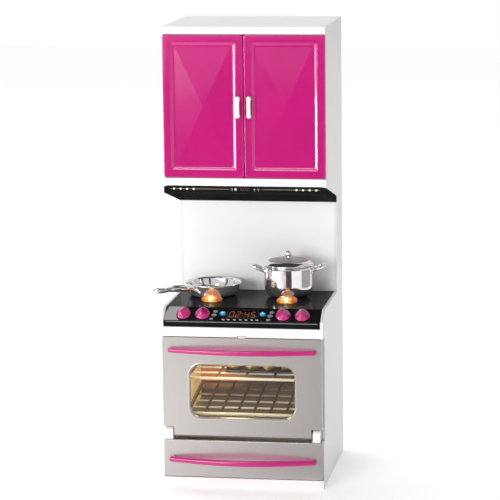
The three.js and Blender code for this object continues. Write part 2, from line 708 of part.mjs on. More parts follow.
// The chamfered foot lets the door turn down past the drawer front.
function ovenDoorShell() {
  const y0 = LOWER_FRONT;
  const y1 = LOWER_FRONT + OVEN.thick;
  const wide = box(-OVEN.half, OVEN.half, y0, y1, OVEN.wideBottom, OVEN.top);
  const foot = alongX(
    [
      [y0, OVEN.wideBottom + 1],
      [y1, OVEN.wideBottom + 1],
      [y1, OVEN.bottom + 1.6],
      [y1 - 1.6, OVEN.bottom],
      [y0 + 1.6, OVEN.bottom],
      [y0, OVEN.bottom + 1.6],
    ],
    -OVEN.neck,
    OVEN.neck,
  );
  const t = 2;
  const hollow = box(
    -OVEN.half + t, OVEN.half - t, y0 + t, y1 + 1, OVEN.wideBottom + t, OVEN.top - t,
  );
  const w = WINDOW;
  const opening = alongY(roundedRect(-w.half, w.half, w.low, w.high, w.corner), y0 - 1, y0 + t + 1);
  const pinHole = rod("x", HINGE.pin + 0.05, -OVEN.neck - 1, OVEN.neck + 1, HINGE.y, HINGE.z, 12);
  const core = rod("x", HINGE.pin + 1, -OVEN.neck + 9, OVEN.neck - 9, HINGE.y, HINGE.z, 12);
  const seat = LATCH_HALF + GAP;
  const latchSeat = box(-seat, seat, y0 + 0.2, y0 + 2, OVEN.top - 1.3, OVEN.top + 1);
  const cuts = union([hollow, opening, pinHole, latchSeat]);
  const body = wide.add(foot).subtract(cuts).add(core);
  add("oven_door_shell", body, SILVER());
}

function ovenWindow() {
  const w = WINDOW;
  const y0 = LOWER_FRONT + 2 + GAP;
  const grow = 3;
  const low = w.low - grow + 0.5;
  const shape = roundedRect(-w.half - grow, w.half + grow, low, w.high + grow, w.corner);
  add("oven_window", alongY(shape, y0, y0 + 1.2), paint(0xe8e4d6, 0.05));
}

function ovenDoorBack() {
  const w = WINDOW;
  const y1 = LOWER_FRONT + OVEN.thick;
  const edge = 2 + GAP;
  const plate = box(
    -OVEN.half + edge, OVEN.half - edge, y1 - 1.6, y1, OVEN.wideBottom + edge, OVEN.top - edge,
  );
  const hole = alongY(roundedRect(-w.half, w.half, w.low, w.high, w.corner - 2), y1 - 3, y1 + 1);
  const lip = 1.4;
  const outer = alongY(
    roundedRect(-w.half - lip, w.half + lip, w.low - lip, w.high + lip, w.corner),
    y1 - 4.2, y1 - 1,
  );
  const inner = alongY(roundedRect(-w.half, w.half, w.low, w.high, w.corner - 2), y1 - 5, y1);
  const body = plate.add(outer.subtract(inner)).subtract(hole);
  add("oven_door_back", body, paint(0x8d8986, 0.4, 0.4));
}

function bowedHandle(name, halfLong, z, bow, radius, material) {
  const face = LOWER_FRONT - GAP;
  const start = halfLong - radius;
  const points = [];
  const count = 12;
  for (let i = 0; i <= count; i++) {
    const u = -1 + (2 * i) / count;
    const out = radius + 0.6 + (bow - radius - radius - 0.6) * Math.cos((u * Math.PI) / 2);
    points.push([u * start, face - out, z]);
  }
  const grip = bar(points, radius, 18, 10);
  const root = face - radius - 0.6;
  const ends = [-1, 1].map((s) => {
    const ball = new THREE.SphereGeometry(radius * 1.04, 10, 6);
    ball.translate(s * start, root, z);
    return solid(ball);
  });
  const posts = [-1, 1].map((s) => rod("y", radius * 0.8, root, face, s * (start - 0.5), z, 10));
  add(name, union([grip, ...ends, ...posts]), material);
}

function ovenLatch() {
  const [y0, y1] = [LOWER_FRONT + 0.5, LOWER_FRONT + 1.7];
  const nub = box(-LATCH_HALF, LATCH_HALF, y0, y1, OVEN.top - 1, OVEN.top + 1.1);
  add("oven_door_latch", nub, WHITE());
}

function hingeRail() {
  const railY = LOWER_FRONT + OVEN.thick + 1.5;
  const z0 = DRAWER.top + GAP;
  const rail = box(-INNER, INNER, railY, railY + WALL, z0, OVEN.wideBottom - GAP);
  const lugs = [-1, 1].map((s) => {
    const [a, b] = [s * (OVEN.neck + 0.8), s * INNER].sort((p, q) => p - q);
    const barrel = rod("x", HINGE.lug, a, b, HINGE.y, HINGE.z, 20);
    const webHalf = HINGE.lug - 0.4;
    const web = box(a, b, HINGE.y, railY + 1, HINGE.z - webHalf, HINGE.z + webHalf);
    const bore = rod("x", HINGE.pin + 0.05, a - 1, b + 1, HINGE.y, HINGE.z, 12);
    const toe = box(a, b, HINGE.y - HINGE.lug, railY + 1, z0, HINGE.z);
    return union([barrel, web, toe]).subtract(bore);
  });
  add("hinge_rail", union([rail, ...lugs]), WHITE());
}

function hingePins() {
  for (const [side, s] of [["left", -1], ["right", 1]]) {
    const a = s * (OVEN.neck - 7);
    const b = s * (INNER - 0.6);
    const pin = rod("x", HINGE.pin - 0.04, Math.min(a, b), Math.max(a, b), HINGE.y, HINGE.z, 12);
    add("oven_hinge_pin_" + side, pin, paint(0xb8b8ba, 0.25, 0.95));
  }
}

// ---- drawer -------------------------------------------------------------------------
function drawer() {
  const d = DRAWER;
  const front = box(-OVEN.half, OVEN.half, LOWER_FRONT, LOWER_FRONT + d.skin, d.bottom, d.top);
  add("drawer_front", front, SILVER());
  const y0 = LOWER_FRONT + d.skin + GAP;
  const y1 = y0 + d.trayDepth;
  const z0 = WALL + GAP + 5;
  const z1 = d.top - 2.5;
  const t = 1.5;
  const tub = box(-d.trayHalf, d.trayHalf, y0, y1, z0, z1);
  const room = box(-d.trayHalf + t, d.trayHalf - t, y0 + t, y1 - t, z0 + t, z1 + 1);
  add("drawer_tray", tub.subtract(room), WHITE());
}

// ---- pan and pot --------------------------------------------------------------------
function fryingPan() {
  const p = PAN;
  const t = 1;
  const profile = [
    [0, 0],
    [p.foot, 0],
    [p.foot + 3, 1.6],
    [p.rim - 0.8, p.tall - 1.6],
    [p.rim, p.tall],
    [p.rim - t, p.tall],
    [p.foot + 2.4, 2],
    [p.foot - 0.4, t],
    [0, t],
  ];
  const bowl = turned(profile, p.x, p.y, REST, 28);
  const a = THREE.MathUtils.degToRad(p.handle);
  const top = REST + p.tall;
  const along = [
    [p.foot + 3.6, -5],
    [p.rim + 1.5, -2.6],
    [p.rim + 5, -0.6],
    [p.rim + 15, 0.8],
    [p.rim + 28, 1.8],
    [p.rim + 38.4, 2.2],
  ];
  const route = along.map(([r, h]) => [p.x + r * Math.cos(a), p.y + r * Math.sin(a), top + h]);
  const handle = bar(route, 1.8, 12, 10, 1.6);
  add("frying_pan", bowl.add(handle), CHROME());
}

function cookingPot() {
  const p = POT;
  const t = 1;
  const profile = [
    [0, 0],
    [p.radius * 0.6, 0],
    [p.radius * 0.85, 1.4],
    [p.radius * 0.97, 4],
    [p.radius, 8],
    [p.radius, p.tall],
    [p.radius - t, p.tall],
    [p.radius - t, 8],
    [p.radius * 0.9, 4.4],
    [p.radius * 0.6, t],
    [0, t],
  ];
  const pot = turned(profile, p.x, p.y, REST, 28);
  const z = REST + p.tall - 3;
  const loop = [
    [-1.4, -4.4, -0.8],
    [3.4, -5, 0.2],
    [7.6, -4, 1.1],
    [8.9, 0, 1.4],
    [7.6, 4, 1.1],
    [3.4, 5, 0.2],
    [-1.4, 4.4, -0.8],
  ];
  const loops = [0, 180].map((half) => {
    const a = THREE.MathUtils.degToRad(p.turn + half);
    const route = loop.map(([out, side, up]) => {
      const r = p.radius + out;
      const x = p.x + r * Math.cos(a) - side * Math.sin(a);
      return [x, p.y + r * Math.sin(a) + side * Math.cos(a), z + up];
    });
    return bar(route, 0.9, 16, 6);
  });
  add("cooking_pot", union([pot, ...loops]), CHROME());
}

function potLid() {
  const p = POT;
  const z = REST + p.tall + GAP;
  const r = p.radius;
  const profile = [
    [0, 0.6],
    [r - 1.7, 0.2],
    [r - 1.7, -1.5],
    [r - 1.3, -1.5],
    [r - 1.3, 0],
    [r + 0.4, 0],
    [r + 0.4, 1],
    [r - 1, 1.8],
    [r * 0.6, 3.6],
    [r * 0.25, 4.4],
    [0, 4.5],
  ];
  add("pot_lid", turned(profile, p.x, p.y, z, 28), CHROME());
  const top = z + 4.5 + GAP;
  const knob = [
    [0, 0],
    [1.4, 0],
    [1, 0.9],
    [2, 1.6],
    [2.6, 2.9],
    [2.1, 4.2],
    [1.2, 4.9],
    [0, 5.2],
  ];
  add("pot_lid_knob", turned(knob, p.x, p.y, top, 14), CHROME());
}

// ---- build --------------------------------------------------------------------------
sidePanels();
topPanel();
cupboardFloor();
cupboardShelf();
innerBackPanel();
basePlate();
rearCover();
rearScrews();
cupboardDoor("left", -1);
cupboardDoor("right", 1);
hood();
cooktop();
clockDisplay();
burnerLights();
knobs();
buttons();
controlRail();
circuitBoard();
speaker();
batteryBox();
cells();
batteryDoor();
powerSwitch();
batteryLead();
ovenLiner();
ovenLamp();
ovenRack("upper", RACKS.upper);
ovenRack("lower", RACKS.lower);
foodTray();
ovenDoorShell();
ovenWindow();
ovenDoorBack();
bowedHandle("oven_door_handle", 52, 97.6, 10, 1.95, MAGENTA());
ovenLatch();
hingeRail();
hingePins();
drawer();
bowedHandle("drawer_handle", 52, 19.8, 12.5, 2.2, MAGENTA());
fryingPan();
cookingPot();
potLid();

export default group;
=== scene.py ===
"""Looks of the doll-size toy kitchen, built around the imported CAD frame.

Shapes are written in millimetres in the row frame (+X right, -Y front, +Z up) and scaled to metres
when they become objects.
"""

import json
import math
import random

import bmesh
import bpy
from mathutils import Matrix, Vector

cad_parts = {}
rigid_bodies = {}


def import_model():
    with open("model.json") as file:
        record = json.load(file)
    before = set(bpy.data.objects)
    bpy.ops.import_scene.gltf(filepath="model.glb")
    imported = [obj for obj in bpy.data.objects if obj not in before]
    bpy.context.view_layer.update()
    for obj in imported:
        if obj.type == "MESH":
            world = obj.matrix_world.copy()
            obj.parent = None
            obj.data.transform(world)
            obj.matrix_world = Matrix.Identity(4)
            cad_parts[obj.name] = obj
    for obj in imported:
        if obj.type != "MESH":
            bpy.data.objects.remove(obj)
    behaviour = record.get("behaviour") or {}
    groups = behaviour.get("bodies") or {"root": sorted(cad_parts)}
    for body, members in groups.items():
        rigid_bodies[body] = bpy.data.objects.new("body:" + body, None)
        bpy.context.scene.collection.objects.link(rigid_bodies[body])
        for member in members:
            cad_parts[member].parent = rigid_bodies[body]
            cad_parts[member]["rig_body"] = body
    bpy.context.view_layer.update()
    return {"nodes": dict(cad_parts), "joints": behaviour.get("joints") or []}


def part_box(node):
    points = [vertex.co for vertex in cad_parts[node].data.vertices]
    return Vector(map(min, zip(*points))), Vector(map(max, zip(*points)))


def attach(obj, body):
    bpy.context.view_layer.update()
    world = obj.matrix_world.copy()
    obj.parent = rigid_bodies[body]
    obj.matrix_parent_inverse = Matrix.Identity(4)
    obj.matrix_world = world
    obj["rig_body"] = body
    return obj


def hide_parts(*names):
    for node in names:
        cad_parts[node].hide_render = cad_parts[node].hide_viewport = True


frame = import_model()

SCENE = bpy.context.scene
MM = 0.001
GAP = 0.3
SEAM = 0.28


class Box:
    """A CAD node's box in millimetres."""

    def __init__(self, node):
        lo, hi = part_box(node)
        self.x0, self.y0, self.z0 = (c / MM for c in lo)
        self.x1, self.y1, self.z1 = (c / MM for c in hi)
        self.x = (self.x0 + self.x1) / 2
        self.y = (self.y0 + self.y1) / 2
        self.z = (self.z0 + self.z1) / 2


COOKTOP = Box("cooktop")
OVEN_DOOR = Box("oven_door_shell")
LOWER_FRONT = OVEN_DOOR.y0
UPPER_FRONT = Box("cupboard_door_left").y0
JOINTS = {j["name"]: j for j in frame["joints"]}


def linked(name, data):
    """A new object in the scene."""
    made = bpy.data.objects.new(name, data)
    SCENE.collection.objects.link(made)
    return made


# ---- materials ----------------------------------------------------------------------
def shader(name, **values):
    """A material whose Principled shader has these socket values; underscores stand for spaces."""
    material = bpy.data.materials.new(name)
    material.use_nodes = True
    bsdf = material.node_tree.nodes["Principled BSDF"]
    for socket, value in values.items():
        bsdf.inputs[socket.replace("_", " ")].default_value = value
    return material


def nodes_of(material):
    tree = material.node_tree
    return tree, tree.nodes["Principled BSDF"]


def noise(tree, scale, detail=2.0):
    """Noise in object space; scale is in features per metre."""
    coordinates = tree.nodes.new("ShaderNodeTexCoord")
    texture = tree.nodes.new("ShaderNodeTexNoise")
    texture.inputs["Scale"].default_value = scale
    texture.inputs["Detail"].default_value = detail
    tree.links.new(coordinates.outputs["Object"], texture.inputs["Vector"])
    return texture.outputs["Fac"]


def ramp(tree, factor, stops):
    """Colours at places along a factor: stops are (place, colour)."""
    node = tree.nodes.new("ShaderNodeValToRGB")
    elements = node.color_ramp.elements
    while len(elements) < len(stops):
        elements.new(0.5)
    for element, (place, colour) in zip(elements, stops):
        element.position = place
        element.color = (*colour, 1)
    tree.links.new(factor, node.inputs["Fac"])
    return node.outputs["Color"]


def remap(tree, factor, low, high, to_low, to_high):
    node = tree.nodes.new("ShaderNodeMapRange")
    for socket, value in zip(("From Min", "From Max", "To Min", "To Max"), (low, high, to_low, to_high)):
        node.inputs[socket].default_value = value
    tree.links.new(factor, node.inputs["Value"])
    return node.outputs["Result"]


def bump(tree, bsdf, height, depth_mm, strength=1.0):
    node = tree.nodes.new("ShaderNodeBump")
    node.inputs["Distance"].default_value = depth_mm * MM
    node.inputs["Strength"].default_value = strength
    tree.links.new(height, node.inputs["Height"])
    tree.links.new(node.outputs["Normal"], bsdf.inputs["Normal"])


def plastic(name, colour, rough, spread=0.03, cloud=45, grain=0.0, grain_scale=2600, **values):
    """Moulded plastic: slow colour and gloss drift, and a fine grain from the mould's skin."""
    material = shader(name, **values)
    tree, bsdf = nodes_of(material)
    drift = noise(tree, cloud, 3)
    dark = tuple(c * (1 - spread) for c in colour)
    light = tuple(min(c * (1 + spread), 1) for c in colour)
    tree.links.new(ramp(tree, drift, [(0.3, dark), (0.7, light)]), bsdf.inputs["Base Color"])
    polish = noise(tree, cloud * 4, 2)
    tree.links.new(remap(tree, polish, 0.3, 0.7, rough * 0.88, rough * 1.12), bsdf.inputs["Roughness"])
    if grain:
        bump(tree, bsdf, noise(tree, grain_scale, 2), grain)
    return material


def metallic_paint(name, colour, rough):
    """Silver paint on plastic: fine flake sparkle over a soft sheen."""
    material = shader(name, Metallic=0.75, Coat_Weight=0.25, Coat_Roughness=0.15)
    tree, bsdf = nodes_of(material)
    flake = noise(tree, 5200, 1)
    dark = tuple(c * 0.98 for c in colour)
    light = tuple(min(c * 1.02, 1) for c in colour)
    tree.links.new(ramp(tree, flake, [(0.3, dark), (0.7, light)]), bsdf.inputs["Base Color"])
    drift = noise(tree, 9, 0)
    tree.links.new(remap(tree, drift, 0.2, 0.8, rough * 0.97, rough * 1.03), bsdf.inputs["Roughness"])
    return material


def polished_metal(name, colour, rough, ripple=0.0, metallic=1.0):
    """Plated metal: mirror gloss with a faint uneven polish."""
    material = shader(name, Metallic=metallic)
    tree, bsdf = nodes_of(material)
    haze = noise(tree, 240, 3)
    dark = tuple(c * 0.95 for c in colour)
    tree.links.new(ramp(tree, haze, [(0.35, dark), (0.7, colour)]), bsdf.inputs["Base Color"])
    tree.links.new(remap(tree, haze, 0.3, 0.75, rough, rough * 1.9), bsdf.inputs["Roughness"])
    if ripple:
        bump(tree, bsdf, noise(tree, 130, 2), ripple)
    return material


def distance_from(tree, centre_mm, stretch=(1, 1, 1)):
    """Distance in millimetres from a point in object space."""
    coordinates = tree.nodes.new("ShaderNodeTexCoord")
    mapping = tree.nodes.new("ShaderNodeMapping")
    mapping.vector_type = "POINT"
    mapping.inputs["Scale"].default_value = tuple(s / MM for s in stretch)
    mapping.inputs["Location"].default_value = tuple(-c * s for c, s in zip(centre_mm, stretch))
    length = tree.nodes.new("ShaderNodeVectorMath")
    length.operation = "LENGTH"
    tree.links.new(coordinates.outputs["Object"], mapping.inputs["Vector"])
    tree.links.new(mapping.outputs["Vector"], length.inputs[0])
    return length.outputs["Value"]


def glowing(name, centre_mm, reach_mm, stops, strength, rough=0.15, stretch=(1, 1, 1)):
    """Lit plastic: its glow changes colour with the distance from the lamp behind it."""
    material = shader(name, Roughness=rough, Emission_Strength=strength, IOR=1.5)
    tree, bsdf = nodes_of(material)
    distance = distance_from(tree, centre_mm, stretch)
    near = remap(tree, distance, 0, reach_mm, 0, 1)
    colour = ramp(tree, near, stops)
    tree.links.new(colour, bsdf.inputs["Emission Color"])
    tree.links.new(colour, bsdf.inputs["Base Color"])
    return material


def clear_plastic(name, colour, rough=0.03, ior=1.46):
    material = shader(name, Roughness=rough, IOR=ior, Transmission_Weight=1.0)
    tree, bsdf = nodes_of(material)
    tint = ramp(tree, noise(tree, 30, 2), [(0.3, tuple(c * 0.985 for c in colour)), (0.7, colour)])
    tree.links.new(tint, bsdf.inputs["Base Color"])
    return material


def lit_mark(name, colour, strength):
    """Back-lit print: colour with a little unevenness, and its own light."""
    material = shader(name, Roughness=0.4, Emission_Strength=strength)
    tree, bsdf = nodes_of(material)
    shade = ramp(tree, noise(tree, 900, 2), [(0.3, tuple(c * 0.8 for c in colour)), (0.65, colour)])
    tree.links.new(shade, bsdf.inputs["Base Color"])
    tree.links.new(shade, bsdf.inputs["Emission Color"])
    return material


def split_xyz(tree, output):
    """The x, y and z of one output of the texture coordinates, in the object's own space."""
    coordinates = tree.nodes.new("ShaderNodeTexCoord")
    split = tree.nodes.new("ShaderNodeSeparateXYZ")
    tree.links.new(coordinates.outputs[output], split.inputs["Vector"])
    return split.outputs


def glow_behind(material, strength):
    """A bar's faces turned to the back glow a little, for light bounced off the bright front behind it."""
    tree, bsdf = nodes_of(material)
    backward = split_xyz(tree, "Normal")["Y"]
    tree.links.new(remap(tree, backward, 0.35, 0.95, 0.03, strength), bsdf.inputs["Emission Strength"])


WHITE = plastic("white_plastic", (0.87, 0.845, 0.825), 0.34, spread=0.012, grain=0.003)
# the alcove's white plastic, made lighter than the cabinet's white: painted light for the shaded alcove under
# the hood
ALCOVE_WHITE_PAINTED_LIGHT = plastic("alcove_white_painted_light", (0.95, 0.94, 0.925), 0.4, spread=0.01, grain=0.003)
WHITE_SATIN = plastic("white_satin", (0.87, 0.855, 0.84), 0.45, spread=0.012, grain=0.006)
MAGENTA = plastic("magenta_plastic", (0.51, 0.009, 0.172), 0.12, spread=0.04, grain=0.0012, Coat_Weight=0.5,
                  Coat_Roughness=0.05)
MAGENTA_GRIP = plastic("magenta_grip", (0.5, 0.009, 0.17), 0.18, spread=0.05, grain=0.0015, Coat_Weight=0.6,
                       Coat_Roughness=0.06)
MAGENTA_BAR = plastic("magenta_bar", (0.5, 0.008, 0.17), 0.2, spread=0.05, grain=0.0015, Coat_Weight=0.35,
                      Coat_Roughness=0.08, Emission_Color=(0.7, 0.1, 0.34, 1))
BLACK_TOP = plastic("black_cooktop", (0.026, 0.026, 0.027), 0.12, spread=0.12, IOR=1.06)
BLACK_GLOSS = plastic("black_gloss", (0.01, 0.01, 0.0105), 0.07, spread=0.15, IOR=1.5)
BLACK_HOOD = plastic("black_hood", (0.02, 0.02, 0.0205), 0.4, spread=0.15, Specular_IOR_Level=0.0)
CHARCOAL = plastic("charcoal_plastic", (0.03, 0.03, 0.031), 0.42, spread=0.1, grain=0.01)
FILTER = plastic("filter_plastic", (0.016, 0.016, 0.0165), 0.5, spread=0.2, Specular_IOR_Level=0.0)
glow_behind(MAGENTA_BAR, 0.75)
SILVER = metallic_paint("silver_paint", (0.5, 0.475, 0.46), 0.26)
SILVER_EDGE = metallic_paint("silver_trim", (0.62, 0.6, 0.57), 0.2)
GREY = plastic("grey_plastic", (0.3, 0.29, 0.285), 0.45, grain=0.008)
BLACK_STRIP = plastic("black_strip", (0.01, 0.01, 0.0105), 0.12, spread=0.15, IOR=1.3)
# grey for the bead along the cooktop's crest: a painted highlight line
CREST_PAINTED_HIGHLIGHT = plastic("crest_painted_highlight", (0.2, 0.2, 0.195), 0.3, spread=0.1)
BLACK_LIP = plastic("black_lip", (0.009, 0.009, 0.0095), 0.15, spread=0.15, IOR=1.12)
CHROME = polished_metal("chrome_plate", (0.93, 0.91, 0.9), 0.05, metallic=0.9)
CHROME_PAN = polished_metal("chrome_pan", (0.95, 0.93, 0.92), 0.05, metallic=0.84)
CHROME_POT = polished_metal("chrome_pot", (0.86, 0.83, 0.84), 0.05, metallic=0.94)
# satin metal for the lid's dome, coloured far darker than the chrome rim: painted dark reflection
DOME_PAINTED_DARK = polished_metal("satin_dome_painted_dark", (0.36, 0.33, 0.33), 0.3)
STEEL = polished_metal("screw_steel", (0.55, 0.55, 0.56), 0.22)
BRASS = polished_metal("contact_brass", (0.75, 0.6, 0.3), 0.2)
# the rack's lengthwise wires: the same wire as the cross wires, painted dark as shade
WIRE_PAINTED_SHADE = plastic("wire_painted_shade", (0.13, 0.105, 0.08), 0.35, spread=0.1, Metallic=0.3)
BREAD = plastic("baked_rolls", (0.34, 0.24, 0.07), 0.5, spread=0.45, cloud=260, grain=0.04, grain_scale=900)
TRAY_DARK = plastic("tray_enamel", (0.05, 0.04, 0.03), 0.35)
LAMP_WHITE = lit_mark("hood_lamp_glow", (0.62, 0.58, 0.4), 0.55)
MARK_PALE = lit_mark("hood_print", (0.42, 0.42, 0.34), 0.2)
MARK_DIM_RED = lit_mark("hood_readout_glow", (0.22, 0.1, 0.08), 0.3)
MARK_WHITE = lit_mark("panel_print", (0.62, 0.62, 0.6), 0.25)
SPOT_GREY = lit_mark("panel_spot", (0.14, 0.14, 0.14), 0.35)
CLOCK_GLOW = lit_mark("clock_glow", (0.27, 0.1, 0.06), 0.32)
CLOCK_GLASS = plastic("clock_window", (0.042, 0.022, 0.017), 0.1, spread=0.2, IOR=1.2)
LED_RED = plastic("red_insulation", (0.45, 0.02, 0.015), 0.4)


# ---- mesh tools ---------------------------------------------------------------------
def ring_faces(bm, a, b):
    count = len(a)
    for i in range(count):
        j = (i + 1) % count
        bm.faces.new((a[i], a[j], b[j], b[i]))


def loft(bm, loops, start=True, end=True, closed=False):
    """Skins a row of loops that have the same number of points; returns their vertices."""
    rows = [[bm.verts.new(p) for p in loop] for loop in loops]
    for a, b in zip(rows, rows[1:]):
        ring_faces(bm, a, b)
    if closed:
        ring_faces(bm, rows[-1], rows[0])
        return rows
    if start:
        bm.faces.new(rows[0][::-1])
    if end:
        bm.faces.new(rows[-1])
    return rows


def round_rect(x0, x1, z0, z1, radius, steps=8):
    """A rectangle with round corners as (x, z) points, anticlockwise."""
    radius = max(radius, 0.05)
    corners = (
        (x1 - radius, z0 + radius, -90),
        (x1 - radius, z1 - radius, 0),
        (x0 + radius, z1 - radius, 90),
        (x0 + radius, z0 + radius, 180),
    )
    points = []
    for cx, cz, start in corners:
        for i in range(steps + 1):
            a = math.radians(start + 90 * i / steps)
            points.append((cx + radius * math.cos(a), cz + radius * math.sin(a)))
    return points


def turned(bm, profile, x, y, z=0, sides=72):
    """Turns a (radius, height) profile about the vertical line through (x, y)."""
    loops = []
    for r, h in profile:
        r = max(r, 0.02)
        loops.append([
            (x + r * math.cos(2 * math.pi * i / sides), y + r * math.sin(2 * math.pi * i / sides), z + h)
            for i in range(sides)
        ])
    return loft(bm, loops)


def smooth_profile(points, steps=4):
    """A (radius, height) profile through the points, as a Catmull-Rom curve."""
    out = []
    for i in range(len(points) - 1):
        p = [Vector(points[max(min(k, len(points) - 1), 0)]) for k in (i - 1, i, i + 1, i + 2)]
        for s in range(steps):
            t = s / steps
            out.append(tuple(0.5 * (
                2 * p[1] + (p[2] - p[0]) * t + (2 * p[0] - 5 * p[1] + 4 * p[2] - p[3]) * t * t
                + (3 * p[1] - p[0] - 3 * p[2] + p[3]) * t ** 3
            )))
    out.append(tuple(points[-1]))
    return out


def spline(points, steps=6):
    """Points in space along a smooth curve."""
    return [Vector(p) for p in smooth_profile(points, steps)]


def sweep(bm, centres, section, up=(0, 0, 1), closed=False):
    """Carries a section along a line. section(share) gives (side, up) offsets at a share of the way."""
    count = len(centres)
    loops = []
    for i, centre in enumerate(centres):
        before = centres[(i - 1) % count] if closed else centres[max(i - 1, 0)]
        after = centres[(i + 1) % count] if closed else centres[min(i + 1, count - 1)]
        ahead = (Vector(after) - Vector(before)).normalized()
        side = ahead.cross(Vector(up)).normalized()
        top = side.cross(ahead)
        share = i / (count if closed else count - 1)
        loops.append([Vector(centre) + side * a + top * b for a, b in section(share)])
    return loft(bm, loops, closed=closed)


def oval(a, b, sides=16, power=2.0):
    """A superellipse section; power 2 is an ellipse and higher is squarer."""
    points = []
    for i in range(sides):
        t = 2 * math.pi * i / sides
        c, s = math.cos(t), math.sin(t)
        points.append(tuple(half * math.copysign(abs(turn) ** (2 / power), turn)
                            for half, turn in ((a, c), (b, s))))
    return points


def tube(bm, start, end, radius, sides=12):
    start, end = Vector(start), Vector(end)
    up = (0, 1, 0) if abs((end - start).normalized().z) > 0.9 else (0, 0, 1)
    sweep(bm, [start, end], lambda share: oval(radius, radius, sides), up)


def finish(name, bm, material, body, slot, replaces=(), sharp=38, flat=True):
    """Makes the object: millimetres to metres, smooth shading with sharp edges, and body."""
    bmesh.ops.recalc_face_normals(bm, faces=bm.faces)
    bmesh.ops.scale(bm, vec=(MM, MM, MM), verts=bm.verts)
    mesh = bpy.data.meshes.new(name)
    bm.to_mesh(mesh)
    bm.free()
    return dress(name, mesh, material, body, slot, replaces, sharp, flat)


def printed(name, bm, material):
    """Lit or printed marks on the cabinet."""
    return finish(name, bm, material, "cabinet", "display", flat=False)


def dress(name, mesh, material, body, slot, replaces=(), sharp=38, flat=True):
    """Gives a mesh its materials, shading and body. slot, a slot's name or a CAD node that has it, is not
    used.
    """
    piece = linked(name, mesh)
    for one in material if isinstance(material, list) else [material]:
        mesh.materials.append(one)
    mesh.shade_smooth()
    mesh.set_sharp_from_angle(angle=math.radians(sharp))
    if flat:
        normals = piece.modifiers.new("normals", "WEIGHTED_NORMAL")
        normals.keep_sharp = True
    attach(piece, body)
    if replaces:
        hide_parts(*replaces)
    return piece


def softened(node, material, width=0.45, segments=3, angle=28, pick=None, widen=0.0):
    """A copy of a CAD node with its facets merged and its edges rounded, which stands for the node.

    widen moves its two ends outwards, to close the seams beside it.
    """
    source = frame["nodes"][node]
    bm = bmesh.new()
    bm.from_mesh(source.data)
    bmesh.ops.remove_doubles(bm, verts=bm.verts, dist=2e-6)
    bmesh.ops.dissolve_limit(bm, angle_limit=math.radians(1), verts=bm.verts, edges=bm.edges)
    if widen:
        half = max(vert.co.x for vert in bm.verts)
        for vert in bm.verts:
            vert.co.x *= 1 + widen * MM / half
    for face in bm.faces:
        face.material_index = pick(face) if pick else 0
    mesh = bpy.data.meshes.new(node + "_part")
    bm.to_mesh(mesh)
    bm.free()
    body = source["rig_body"]
    piece = dress(node + "_part", mesh, material, body, node, [node], sharp=angle, flat=False)
    rounding = piece.modifiers.new("rounding", "BEVEL")
    rounding.limit_method = "ANGLE"
    rounding.angle_limit = math.radians(angle)
    rounding.width = width * MM
    rounding.segments = segments
    rounding.harden_normals = True
    return piece


# ---- camera, floor and light --------------------------------------------------------
def camera():
    """A long lens to the right of the toy and above it, turned a little on its own axis."""
    yaw, pitch, roll = (math.radians(a) for a in (9.14, -10.0, -0.66))
    ahead = Vector((-math.sin(yaw) * math.cos(pitch), math.cos(yaw) * math.cos(pitch), math.sin(pitch)))
    right = Vector((math.cos(yaw), math.sin(yaw), 0))
    up = right.cross(ahead)
    turned_right = right * math.cos(roll) + up * math.sin(roll)
    turned_up = up * math.cos(roll) - right * math.sin(roll)
    data = bpy.data.cameras.new("camera")
    data.lens = 179.47
    data.sensor_width = 36
    data.clip_end = 60
    eye = linked("camera", data)
    axes = Matrix((turned_right, turned_up, -ahead)).transposed()
    eye.matrix_world = Matrix.Translation((0.2746, -1.7209, 0.4660)) @ axes.to_4x4()
    SCENE.camera = eye


def softbox(name, place, target, width, height, power, diffuse=True):
    data = bpy.data.lights.new(name, "AREA")
    data.shape = "RECTANGLE"
    data.size, data.size_y = width, height
    data.energy = power
    lamp = linked(name, data)
    lamp.location = place
    lamp.rotation_euler = (Vector(target) - Vector(place)).to_track_quat("-Z", "Y").to_euler()
    lamp.visible_camera = False
    lamp.visible_diffuse = diffuse


def card(name, x0, x1, y0, y1, z0, z1, tone=(0.004, 0.004, 0.004)):
    """A card around the toy that only reflections see, to give chrome and gloss something to mirror."""
    if z0 == z1:
        corners = ((x0, y0, z0), (x1, y0, z0), (x1, y1, z1), (x0, y1, z1))
    else:
        corners = ((x0, y0, z0), (x1, y1, z0), (x1, y1, z1), (x0, y0, z1))
    mesh = bpy.data.meshes.new(name)
    mesh.from_pydata(corners, [], [(0, 1, 2, 3)])
    mesh.materials.append(shader(
        name + "_tone", Base_Color=(0, 0, 0, 1), Roughness=1.0, Specular_IOR_Level=0.0,
        Emission_Color=(*tone, 1), Emission_Strength=1.0))
    sheet = linked(name, mesh)
    for sight in ("camera", "diffuse", "shadow", "transmission", "volume_scatter"):
        setattr(sheet, "visible_" + sight, False)


def silver_card():
    """A floor card, brightest at the left, so that the silver fronts shade to the right."""
    card("silver_card", -0.4, 0.16, -0.08, -0.75, 0.0008, 0.0008)
    tree, bsdf = nodes_of(bpy.data.materials["silver_card_tone"])
    away = remap(tree, distance_from(tree, (-300, -100, 0), (2.2, 1, 1)), 400, 850, 0, 1)
    tones = ramp(tree, away, [(place, (tone, tone * 0.985, tone * 0.98)) for place, tone in
                              ((0.0, 1.0), (0.22, 0.84), (0.48, 0.58), (0.67, 0.43), (1.0, 0.24))])
    tree.links.new(tones, bsdf.inputs["Emission Color"])
    bsdf.inputs["Emission Strength"].default_value = 1.5


